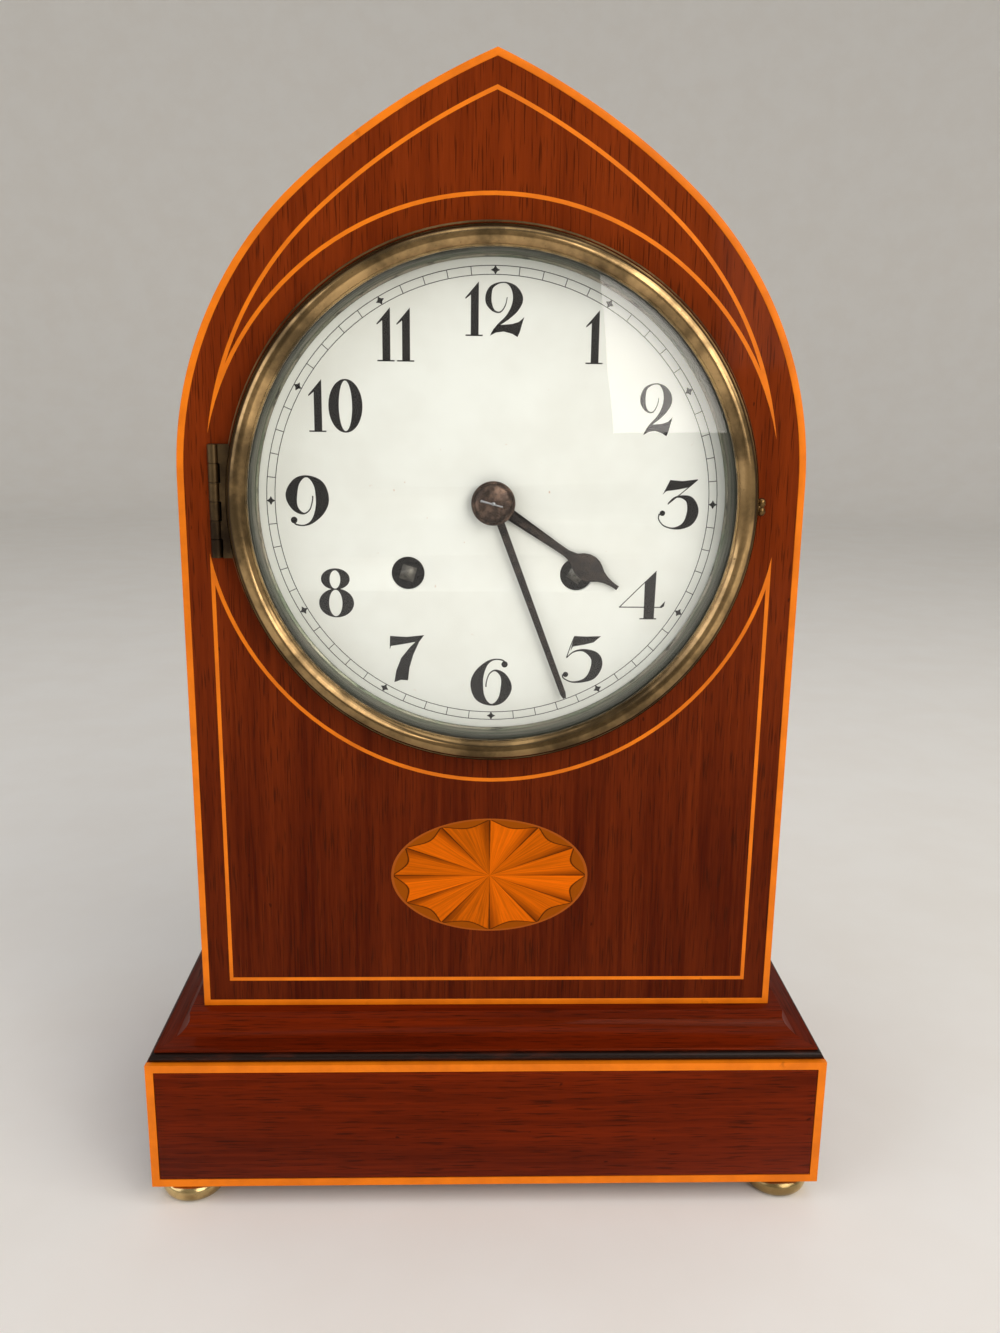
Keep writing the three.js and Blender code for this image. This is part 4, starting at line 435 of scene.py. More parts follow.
def clear_glass():
    """Blown clock glass: clear, with waves too slight to see except in a reflection. Light on
    its way to the dial passes it unbent, so that the dial is as bright as it is in a room."""
    made, tree, where = new_finish("blown glass")
    waves = patches(tree, where, (26, 26, 26), 0.0, 1.0, 1.0, 1)
    glass = add(tree, "ShaderNodeBsdfPrincipled", {
        "Base Color": linear("#ffffff"), "Transmission Weight": 1.0, "Roughness": 0.0, "IOR": 1.38,
        "Normal": add(tree, "ShaderNodeBump", {"Height": waves, "Strength": 0.06, "Distance": 0.5 * MM})})
    clear = add(tree, "ShaderNodeBsdfTransparent")
    for ray in ("Is Diffuse Ray", "Is Shadow Ray"):
        light = add(tree, "ShaderNodeLightPath", out=ray)
        glass = add(tree, "ShaderNodeMixShader", {0: light, 1: glass, 2: clear})
    add(tree, "ShaderNodeOutputMaterial", {"Surface": glass})
    return made


# Each finish, by the name that pieces ask for it by: its maker and what the maker is given
RECIPES = {
    # The case veneer grows paler from low on the case to above the dial: partly its tone, partly painted
    # light.
    "case veneer": (mahogany, "mahogany veneer, case", "veneer_light", "veneer_dark", "#2e0e04",
                    CASE_LOW.z + 30 * MM, DIAL_Z + 20 * MM),
    "base veneer": (mahogany, "mahogany veneer, base", "base_light", "base_dark", "#220903"),
    "stringing": (boxwood,),
    "fan": (satinwood_fan,),
    "ebonised": (ebonised,),
    "pine": (stained_pine,),
    "brass": (bezel_brass,),
    "flange brass": (dulled_brass, "tarnished brass", "#8a7750", "#4e3f28", 0.3, 0.5),
    "door brass": (dulled_brass, "spun brass", "#a98f5f", "#8c744a", 0.3, 0.44),
    "foot brass": (dulled_brass, "rubbed brass", "#dfc48b", "#937d53", 0.14, 0.32),
    "knob brass": (dulled_brass, "worn brass", "#8a6c42", "#3c2e1e", 0.2, 0.4),
    # The hinge brass is darker than the rest: painted shade for the hinge, which sits in shadow beside the
    # bezel.
    "hinge brass": (dulled_brass, "dirty brass", "#655238", "#30261c", 0.32, 0.56),
    "movement brass": (dulled_brass, "polished brass", "#dcbc74", "#b8934f", 0.18, 0.34),
    "verdigris": (verdigris_brass,),
    "enamel": (fired_enamel,),
    "paint": (dial_paint,),
    "bronzed": (bronzed_steel, "bronzed steel, hands", "#1f1b19", "#3d332c"),
    "boss bronze": (bronzed_steel, "bronzed steel, boss", "#3a2d25", "#7c6556"),
    "steel": (grey_steel, "grey steel", "#a3a6aa", "#6f7276"),
    "winding steel": (winding_steel,),
    "gong steel": (grey_steel, "blued gong steel", "#6d7480", "#3d4450"),
    "iron": (grey_steel, "cast iron", "#4b4946", "#2d2b29"),
    "glass": (clear_glass,),
}
COATS = {}


def coat_named(name):
    """A finish, made the first time that it is asked for."""
    if name not in COATS:
        maker, *details = RECIPES[name]
        COATS[name] = maker(*details)
    return COATS[name]


# Shapes

# Points that are one point, in a shape made here and among the loose triangles of a CAD solid
SAME = 0.0005 * MM
SAME_LOOSE = 0.001 * MM
# An edge that bends further than these shades sharp or is rubbed round, and one that bends less than
# the last is taken out.
SHARP = math.radians(32)
RUBBED = math.radians(35)
FLAT = math.radians(1)
# Steps across a rubbed arris and across a plate's soft edge
ARRIS_SEGMENTS = 2
EDGE_SEGMENTS = 2


def circle(radius, steps, x=0.0, z=0.0):
    """Points (x, z) round a circle."""
    angles = [2 * math.pi * step / steps for step in range(steps)]
    return [(x + radius * math.cos(a), z + radius * math.sin(a)) for a in angles]


def arc(radius, start, end, steps, x=0.0, z=0.0):
    """Points (x, z) along an arc, both ends included, with angles in degrees."""
    angles = [math.radians(start + (end - start) * step / steps) for step in range(steps + 1)]
    return [(x + radius * math.cos(a), z + radius * math.sin(a)) for a in angles]


def clockwise(points, degrees):
    """Points turned clockwise about the dial's centre."""
    turn = math.radians(degrees)
    return [(x * math.cos(turn) + z * math.sin(turn), z * math.cos(turn) - x * math.sin(turn))
            for x, z in points]


def turned(profile, steps, centre, upright=False):
    """A closed profile of (radius, depth) points turned about y, or about z if upright."""
    shape = bmesh.new()
    rings = []
    for step in range(steps):
        angle = 2 * math.pi * step / steps
        across, up = math.cos(angle), math.sin(angle)
        spots = [(r * across, r * up, d) if upright else (r * across, d, r * up) for r, d in profile]
        rings.append([shape.verts.new(centre + Vector(spot)) for spot in spots])
    for here, there in zip(rings, rings[1:] + rings[:1]):
        for place in range(len(profile)):
            after = (place + 1) % len(profile)
            shape.faces.new((here[place], here[after], there[after], there[place]))
    bmesh.ops.remove_doubles(shape, verts=shape.verts, dist=SAME)
    bmesh.ops.dissolve_degenerate(shape, edges=shape.edges, dist=SAME)
    bmesh.ops.recalc_face_normals(shape, faces=shape.faces)
    return shape


def plate(outlines, front, back, bevel=0.0):
    """Front-view outlines, the outer one first and then its holes, made a plate with soft edges."""
    curve = bpy.data.curves.new("outline", "CURVE")
    curve.dimensions = "2D"
    curve.fill_mode = "BOTH"
    curve.extrude = (back - front) / 2 - bevel
    curve.bevel_depth = bevel
    curve.bevel_resolution = EDGE_SEGMENTS
    curve.offset = -bevel
    for points in outlines:
        spline = curve.splines.new("POLY")
        spline.points.add(len(points) - 1)
        for spot, (x, z) in zip(spline.points, points):
            spot.co = (x, z, 0, 1)
        spline.use_cyclic_u = True
    holder = bpy.data.objects.new("outline", curve)
    bpy.context.scene.collection.objects.link(holder)
    depsgraph = bpy.context.evaluated_depsgraph_get()
    mesh = bpy.data.meshes.new_from_object(holder.evaluated_get(depsgraph))
    bpy.data.objects.remove(holder)
    shape = bmesh.new()
    shape.from_mesh(mesh)
    bpy.data.meshes.remove(mesh)
    upright = Matrix.Translation((0, (front + back) / 2, 0)) @ Matrix.Rotation(math.pi / 2, 4, "X")
    bmesh.ops.transform(shape, matrix=upright, verts=shape.verts)
    bmesh.ops.remove_doubles(shape, verts=shape.verts, dist=SAME)
    bmesh.ops.recalc_face_normals(shape, faces=shape.faces)
    return shape


def moved(shape, offset):
    """A shape put somewhere else."""
    bmesh.ops.translate(shape, vec=offset, verts=shape.verts)
    return shape


def joined(*shapes):
    """Several shapes in one."""
    whole = bmesh.new()
    for shape in shapes:
        mesh = bpy.data.meshes.new("part")
        shape.to_mesh(mesh)
        shape.free()
        whole.from_mesh(mesh)
        bpy.data.meshes.remove(mesh)
    return whole


def softened(node, width):
    """A merged copy of a CAD solid with its arrises rubbed round."""
    shape = bmesh.new()
    shape.from_mesh(frame["nodes"][node].data)
    bmesh.ops.remove_doubles(shape, verts=shape.verts, dist=SAME_LOOSE)
    bmesh.ops.dissolve_limit(shape, angle_limit=FLAT, verts=shape.verts, edges=shape.edges)
    sharp = [edge for edge in shape.edges if edge.is_manifold and edge.calc_face_angle() > RUBBED]
    bmesh.ops.bevel(shape, geom=sharp, offset=width, segments=ARRIS_SEGMENTS, profile=0.5,
                    affect="EDGES", clamp_overlap=True)
    return shape


def settle(name, mesh, coat, body, nodes=()):
    """Makes a finished mesh a piece that rides on a body and stands for CAD nodes."""
    mesh.shade_smooth()
    mesh.set_sharp_from_angle(angle=SHARP)
    mesh.materials.clear()
    mesh.materials.append(coat_named(coat))
    made = bpy.data.objects.new(name, mesh)
    bpy.context.scene.collection.objects.link(made)
    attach(made, body)
    if nodes:
        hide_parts(*nodes)
    return made


def piece(name, shape, coat, body, nodes=()):
    """Makes a shape a piece."""
    mesh = bpy.data.meshes.new(name)
    shape.to_mesh(mesh)
    shape.free()
    return settle(name, mesh, coat, body, nodes)


def smooth_shading():
    """A geometry tree that merges a CAD node's triangles and shades its round faces smooth."""
    name = "smooth shading"
    if name in bpy.data.node_groups:
        return bpy.data.node_groups[name]
    tree = bpy.data.node_groups.new(name, "GeometryNodeTree")
    tree.interface.new_socket("Geometry", in_out="INPUT", socket_type="NodeSocketGeometry")
    tree.interface.new_socket("Geometry", in_out="OUTPUT", socket_type="NodeSocketGeometry")
    tree.is_modifier = True
    came = add(tree, "NodeGroupInput")
    plain = add(tree, "GeometryNodeRemoveAttribute", {"Geometry": came, "Name": "custom_normal"})
    merged = add(tree, "GeometryNodeMergeByDistance", {"Geometry": plain, "Distance": SAME_LOOSE})
    smooth = add(tree, "GeometryNodeSetShadeSmooth", {"Geometry": merged, "Shade Smooth": True})
    bend = add(tree, "GeometryNodeInputMeshEdgeAngle")
    sharp = add(tree, "FunctionNodeCompare", {0: bend, 1: SHARP}, operation="GREATER_THAN")
    edged = add(tree, "GeometryNodeSetShadeSmooth",
                {"Geometry": smooth, "Selection": sharp, "Shade Smooth": False}, domain="EDGE")
    add(tree, "NodeGroupOutput", {"Geometry": edged})
    return tree


def dress(coat, *nodes):
    """Gives CAD nodes that stay in sight their finish and smooth shading."""
    for name in nodes:
        shown = frame["nodes"][name]
        shown.data.materials.clear()
        shown.data.materials.append(coat_named(coat))
        shown.modifiers.new("smooth shading", "NODES").node_group = smooth_shading()


# The kind of a geometry tree's input, by the kind of value that it is given
SOCKETS = {float: "NodeSocketFloat", int: "NodeSocketInt", tuple: "NodeSocketVector",
           bpy.types.Material: "NodeSocketMaterial"}


def geometry_tree(name, values):
    """An empty geometry tree with an input for each named value, and those inputs."""
    tree = bpy.data.node_groups.new(name, "GeometryNodeTree")
    tree.is_modifier = True
    tree.interface.new_socket("Geometry", in_out="OUTPUT", socket_type="NodeSocketGeometry")
    for title, value in values.items():
        tree.interface.new_socket(title, in_out="INPUT", socket_type=SOCKETS[type(value)])
    return tree, tree.nodes.new("NodeGroupInput").outputs


def realised(tree, geometry, material):
    """Ends a geometry tree in real geometry with its finish."""
    real = add(tree, "GeometryNodeRealizeInstances", {"Geometry": geometry})
    coated = add(tree, "GeometryNodeSetMaterial", {"Geometry": real, "Material": material})
    add(tree, "NodeGroupOutput", {0: coated})


def grown(tree, values):
    """The plain mesh that a geometry tree makes from values for its named inputs."""
    name = tree.name
    holder = bpy.data.objects.new(name, bpy.data.meshes.new(name))
    bpy.context.scene.collection.objects.link(holder)
    modifier = holder.modifiers.new(name, "NODES")
    modifier.node_group = tree
    for item in tree.interface.items_tree:
        if item.in_out == "INPUT":
            modifier[item.identifier] = values[item.name]
    depsgraph = bpy.context.evaluated_depsgraph_get()
    mesh = bpy.data.meshes.new_from_object(holder.evaluated_get(depsgraph))
    holder.modifiers.remove(modifier)
    bpy.data.objects.remove(holder)
    if not mesh.polygons:
        raise RuntimeError(f"the geometry tree {name} made nothing")
    return mesh


def on_circle(tree, radius, count):
    """A position on an upright circle for each index, clockwise from twelve, and its angle."""
    index = add(tree, "GeometryNodeInputIndex")
    share = add(tree, MATH, {0: index, 1: count}, operation="DIVIDE")
    angle = add(tree, MATH, {0: share, 1: 2 * math.pi}, operation="MULTIPLY")
    sine = add(tree, MATH, {0: angle}, operation="SINE")
    cosine = add(tree, MATH, {0: angle}, operation="COSINE")
    x = add(tree, MATH, {0: sine, 1: radius}, operation="MULTIPLY")
    z = add(tree, MATH, {0: cosine, 1: radius}, operation="MULTIPLY")
    place = add(tree, "ShaderNodeCombineXYZ", {"X": x, "Z": z})
    turn = add(tree, "ShaderNodeCombineXYZ", {"Y": angle})
    return index, place, turn


# Case, base and inlay

CASE_HALF = CASE_HIGH.x
CASE_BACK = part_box("side_left")[1].y
SPRING_Z = CASE_LOW.z + 160.8 * MM
SHOULDER_RADIUS = 103.4 * MM
SHOULDER_SWEEP = 48.2
UPPER_RADIUS = 191.6 * MM
SIDE_WALL = 9 * MM
ARCH_STEPS = 24
EDGE_LINE = 2 * MM
PANEL_LINE = 1.1 * MM
PANEL_INSET = 8.2 * MM
PANEL_FOOT = 8.4 * MM
PANEL_CIRCLE = PAN_HIGH.z - DIAL_Z + 6.25 * MM
BACK_HOLE = 62 * MM
DIAL_OPENING = DIAL_RADIUS + 1.4 * MM
LEAF_ROOM = 0.1 * MM
BOARD_ROOM = 0.1 * MM
BOARD_EDGE = 0.1 * MM
LINE_EDGE = 0.2 * MM
# Steps round each segment of the fan, the rings of its mesh as shares of the way out, and how far its
# map stays inside a segment, so that an edge never reads as the next one
FAN_SPLITS = 10
FAN_SHARES = (0.02, 0.3, 0.6, 0.8, 1.0)
FAN_MARGIN = 0.001
# Inlay stands a hair proud, so that it never lies in one plane with the veneer.
PROUD = 0.02 * MM
# A hair of room between two parts of one piece that would otherwise share an edge
SEAM = 0.02 * MM


def half_arch(inset, foot=0.0):
    """The right half of the case's outline, from its foot to its apex, drawn in by an inset."""
    shoulder_x = CASE_HALF - SHOULDER_RADIUS
    change = SHOULDER_RADIUS - UPPER_RADIUS
    upper_x = shoulder_x + change * math.cos(math.radians(SHOULDER_SWEEP))
    upper_z = SPRING_Z + change * math.sin(math.radians(SHOULDER_SWEEP))
    apex = math.degrees(math.acos(-upper_x / (UPPER_RADIUS - inset)))
    shoulder = arc(SHOULDER_RADIUS - inset, 0, SHOULDER_SWEEP, ARCH_STEPS, shoulder_x, SPRING_Z)
    upper = arc(UPPER_RADIUS - inset, SHOULDER_SWEEP, apex, ARCH_STEPS, upper_x, upper_z)
    return [(CASE_HALF - inset, CASE_LOW.z + foot), *shoulder, *upper[1:]]


def lancet(inset, foot=0.0):
    """The case's whole outline, drawn in by an inset."""
    right = half_arch(inset, foot)
    return right + [(-x, z) for x, z in reversed(right[:-1])]


def upper_panel(shrink):
    """The crescent between the arch and a circle round the dial."""
    radius = PANEL_CIRCLE + shrink
    arch = lancet(PANEL_INSET + shrink)[1:-1]
    beyond = [math.hypot(x, z - DIAL_Z) - radius for x, z in arch]
    line = []
    for first, second, a, b in zip(arch, arch[1:], beyond, beyond[1:]):
        if a > 0:
            line.append(first)
        if a * b < 0:
            share = a / (a - b)
            line.append(tuple(p + (q - p) * share for p, q in zip(first, second)))
    (right_x, right_z), (left_x, left_z) = line[0], line[-1]
    start = math.degrees(math.atan2(left_z - DIAL_Z, left_x))
    end = math.degrees(math.atan2(right_z - DIAL_Z, right_x))
    return line + arc(radius, start, end, DRUM, 0, DIAL_Z)[1:-1]


def lower_panel(shrink):
    """The panel below a circle round the dial."""
    radius = PANEL_CIRCLE + shrink
    half = CASE_HALF - PANEL_INSET - shrink
    foot = CASE_LOW.z + PANEL_FOOT + shrink
    tip = math.degrees(math.acos(half / radius))
    return [(-half, foot), (half, foot), *arc(radius, -tip, tip - 180, DRUM, 0, DIAL_Z)]


def upright_grain(shape):
    """Maps a flat piece so that its grain stands upright: across first and along second, in metres."""
    chart = shape.loops.layers.uv.new("grain")
    for face in shape.faces:
        for loop in face.loops:
            loop[chart].uv = (loop.vert.co.x + loop.vert.co.y, loop.vert.co.z)
    return shape


def level_grain(shape):
    """Maps a piece of the base so that its grain runs level, along the front and along the sides."""
    chart = shape.loops.layers.uv.new("grain")
    for face in shape.faces:
        sideways = abs(face.normal.x) > abs(face.normal.y)
        for loop in face.loops:
            x, y, z = loop.vert.co
            loop[chart].uv = (z + x, y) if sideways else (z + y, x)
    return shape


def front_board():
    """The front board in one solid: stepped back for the edge stringing, let in for the hinge leaf and
    cut out for the dial."""
    leaf_low, leaf_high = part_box("bezel_hinge_fixed_leaf")
    left, right = leaf_low.x - LEAF_ROOM, leaf_high.x + LEAF_ROOM
    foot, top = leaf_low.z - LEAF_ROOM, leaf_high.z + LEAF_ROOM
    seat = [(left, foot), (right, foot), (right, top), (left, top)]
    hole = circle(DIAL_OPENING, ROUND, 0, DIAL_Z)
    step = CASE_FRONT + EDGE_LINE
    face = plate([lancet(EDGE_LINE, EDGE_LINE), hole, seat], CASE_FRONT, step)
    core = plate([lancet(0), hole], step, CASE_HIGH.y)
    shape = joined(face, core)
    inside = [side for side in shape.faces
              if all(abs(vert.co.y - step) < SAME_LOOSE for vert in side.verts)]
    bmesh.ops.delete(shape, geom=inside, context="FACES")
    bmesh.ops.remove_doubles(shape, verts=shape.verts, dist=SAME_LOOSE)
    open_edges = [edge for edge in shape.edges if edge.is_boundary]
    seat_edges = [edge for edge in open_edges
                  if all(math.hypot(vert.co.x, vert.co.z - DIAL_Z) < PANEL_CIRCLE for vert in edge.verts)]
    bmesh.ops.holes_fill(shape, edges=seat_edges)
    bmesh.ops.bridge_loops(shape, edges=[edge for edge in open_edges if edge not in seat_edges])
    bmesh.ops.recalc_face_normals(shape, faces=shape.faces)
    return upright_grain(shape)


def bent_side(node, hand):
    """A bent side, mapped so that its grain follows the arch, out over it and in under it."""
    low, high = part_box(node)
    depth = high.y - low.y
    around = (0.0, depth, depth + SIDE_WALL, 2 * depth + SIDE_WALL)
    shape = bmesh.new()
    chart = shape.loops.layers.uv.new("grain")
    rows = []
    run = 0.0
    last = None
    for out, into in zip(half_arch(0), half_arch(SIDE_WALL)):
        run += math.dist(out, last) if last else 0.0
        last = out
        corners = ((out, low.y), (out, high.y), (into, high.y), (into, low.y))
        rows.append([(shape.verts.new((hand * x, y, z)), (across, run))
                     for ((x, z), y), across in zip(corners, around)])
    faces = [rows[0], rows[-1]]
    for here, there in zip(rows, rows[1:]):
        faces += [(here[a], here[a - 1], there[a - 1], there[a]) for a in range(4)]
    for corners in faces:
        face = shape.faces.new([vert for vert, place in corners])
        for loop, (vert, place) in zip(face.loops, corners):
            loop[chart].uv = place
    bmesh.ops.recalc_face_normals(shape, faces=shape.faces)
    return shape


class CLOCK_OT_case(bpy.types.Operator):
    """Veneers the case and base, with their arrises softened by years of dusting"""
    bl_idname = "clock.case"
    bl_label = "Case and base"

    def execute(self, context):
        arris = sizes().arris
        piece("front_board_veneered", front_board(), "case veneer", "clock_case", ["case_front"])
        for node, hand in (("side_left", -1), ("side_right", 1)):
            piece(node + "_veneered", bent_side(node, hand), "case veneer", "clock_case", [node])
        hole = circle(BACK_HOLE, ROUND, 0, DIAL_Z)
        low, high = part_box("back_board")
        board = plate([lancet(SIDE_WALL + BOARD_ROOM), hole], low.y, high.y, BOARD_EDGE)
        piece("back_board_stained", board, "pine", "clock_case", ["back_board"])
        plinth = level_grain(softened("base_plinth", arris))
        piece("plinth_veneered", plinth, "base veneer", "clock_case", ["base_plinth"])
        moulding = level_grain(softened("base_top", arris / 2))
        piece("moulding_veneered", moulding, "base veneer", "clock_case", ["base_top"])
        dress("ebonised", "base_bead")
        return {"FINISHED"}


class CLOCK_OT_inlay(bpy.types.Operator):
    """Lays in the boxwood lines and the satinwood fan"""
    bl_idname = "clock.inlay"
    bl_label = "Inlay"

    def execute(self, context):
        front = CASE_FRONT - PROUD
        edge = plate([lancet(0), lancet(EDGE_LINE, EDGE_LINE)], front, CASE_FRONT + EDGE_LINE, LINE_EDGE)
        piece("edge_line", edge, "stringing", "clock_case", ["edge_stringing"])
        for name, panel in (("upper_panel", upper_panel), ("lower_panel", lower_panel)):
            line = plate([panel(0), panel(PANEL_LINE)], front, CASE_FRONT + PANEL_LINE)
            piece(name + "_line", line, "stringing", "clock_case", [name + "_stringing"])
        dress("stringing", "base_stringing")
        piece("fan_inlay", fan(sizes().fan_rays), "fan", "clock_case", ["fan_patera"])
        return {"FINISHED"}


def fan(rays):
    """The oval fan as a thin disc, with a map of (segment and place across it, share of the way out)."""
    middle = (PATERA_LOW + PATERA_HIGH) / 2
    half_x = (PATERA_HIGH.x - PATERA_LOW.x) / 2
    half_z = (PATERA_HIGH.z - PATERA_LOW.z) / 2
    steps = rays * FAN_SPLITS
    face_depth = PATERA_LOW.y - PROUD
    shape = bmesh.new()
    chart = shape.loops.layers.uv.new("fan")

    def spot(step, share, depth):
        angle = math.pi / 2 + 2 * math.pi * step / steps
        x = middle.x + half_x * share * math.cos(angle)
        z = middle.z + half_z * share * math.sin(angle)
        return shape.verts.new((x, depth, z))

    front = [[spot(step, share, face_depth) for step in range(steps)] for share in FAN_SHARES]
    back = [spot(step, 1.0, PATERA_HIGH.y) for step in range(steps)]
    hub = shape.verts.new((middle.x, face_depth, middle.z))
    heel = shape.verts.new((middle.x, PATERA_HIGH.y, middle.z))
    for step in range(steps):
        after = (step + 1) % steps
        first, start = front[0], FAN_SHARES[0]
        faces = [((hub, 0, 0), (first[after], 1, start), (first[step], 0, start))]
        for inner, outer, low, high in zip(front, front[1:], FAN_SHARES, FAN_SHARES[1:]):
            faces.append(((inner[step], 0, low), (inner[after], 1, low),
                          (outer[after], 1, high), (outer[step], 0, high)))
        rim = front[-1]
        faces.append(((rim[step], 0, 1), (rim[after], 1, 1), (back[after], 1, 1), (back[step], 0, 1)))
        faces.append(((heel, 0, 1), (back[step], 0, 1), (back[after], 1, 1)))
        segment, place = divmod(step, FAN_SPLITS)
        for corners in faces:
            face = shape.faces.new([corner for corner, ahead, share in corners])
            for loop, (corner, ahead, share) in zip(face.loops, corners):
                across = min(max((place + ahead) / FAN_SPLITS, FAN_MARGIN), 1 - FAN_MARGIN)
                loop[chart].uv = (segment + across, share)
    bmesh.ops.recalc_face_normals(shape, faces=shape.faces)
    return shape


class CLOCK_OT_feet(bpy.types.Operator):
    """Turns the four brass bun feet"""
    bl_idname = "clock.feet"
    bl_label = "Feet"

    def execute(self, context):
        for node in ("foot_front_left", "foot_front_right", "foot_back_left", "foot_back_right"):
            low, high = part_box(node)
            centre = Vector(((low.x + high.x) / 2, (low.y + high.y) / 2, 0))
            piece(node + "_bun", bun_foot(centre, (high.x - low.x) / 2, high.z), "foot brass",
                  "clock_case", [node])
        return {"FINISHED"}


def bun_foot(centre, radius, height):
    """A flattened ball, fullest low down, with a turned neck and a broad flat sole."""
    sole, neck, collar = 0.76 * radius, 0.6 * radius, 0.7 * radius
    belly, top = 0.44 * height, 0.88 * height
    neck_top, collar_foot = 0.92 * height, 0.94 * height
    turns = [math.radians(a) for a in range(-90, 91, 9)]
    ball = [(sole + (radius - sole) * math.cos(a), belly + belly * math.sin(a)) if a < 0 else
            (neck + (radius - neck) * math.cos(a), belly + (top - belly) * math.sin(a)) for a in turns]
    profile = [(0, 0), *ball, (neck, neck_top), (collar, collar_foot), (collar, height), (0, height)]
    return turned(profile, DRUM, centre, upright=True)


# Dial

CENTRE_HOLE = 4 * MM
WINDING_HOLE = 4.7 * MM
DIAL_EDGE = 0.25 * MM
PAN_FLOOR = 1.2 * MM
PAN_WALL = 1.0 * MM
PAN_ROOM = 0.3 * MM
PAN_CHAMFER = 0.3 * MM
# Hours and minutes round the dial, and minutes from one diamond to the next
HOURS = 12
MINUTES = 60
DIAMOND_EVERY = 5


def winding_places():
    """Where the two winding arbors come through, seen from the front and measured from the centre."""
    for node in ("going_winding_arbor", "strike_winding_arbor"):
        low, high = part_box(node)
        yield (low.x + high.x) / 2, (low.z + high.z) / 2 - DIAL_Z


class CLOCK_OT_dial(bpy.types.Operator):
    """Fires the enamel dial with its minute track and numerals, and sets it in its brass pan"""
    bl_idname = "clock.dial"
    bl_label = "Dial"

    def execute(self, context):
        holes = [circle(WINDING_HOLE, DRUM, x, z) for x, z in winding_places()]
        face = plate([circle(DIAL_RADIUS, ROUND), circle(CENTRE_HOLE, DRUM), *holes],
                     DIAL_FRONT, DIAL_HIGH.y, DIAL_EDGE)
        piece("enamel_dial", moved(face, CENTRE), "enamel", "clock_case", ["dial"])
        settle("minute_track", minute_track(), "paint", "clock_case")
        piece("numerals", numerals(), "paint", "clock_case")
        pan_rim()
        return {"FINISHED"}


def pan_rim():
    """The brass pan behind the dial, whose flange shows round the bezel."""
    radius = PAN_HIGH.z - DIAL_Z
    wall = DIAL_RADIUS + PAN_ROOM
    floor_front = PAN_HIGH.y - PAN_FLOOR
    profile = [(wall, floor_front), (wall, PAN_LOW.y), (radius - PAN_CHAMFER, PAN_LOW.y),
               (radius, PAN_LOW.y + PAN_CHAMFER), (radius, CASE_FRONT), (wall + PAN_WALL, CASE_FRONT),
               (wall + PAN_WALL, PAN_HIGH.y), (wall, PAN_HIGH.y)]
    rim = turned(profile, ROUND, CENTRE)
    holes = [circle(WINDING_HOLE + PAN_ROOM, DRUM, x, z) for x, z in winding_places()]
    sheet = plate([circle(wall - SEAM, ROUND), circle(CENTRE_HOLE, DRUM), *holes], floor_front, PAN_HIGH.y)
    piece("dial_pan_spun", joined(rim, moved(sheet, CENTRE)), "flange brass", "clock_case", ["dial_pan"])


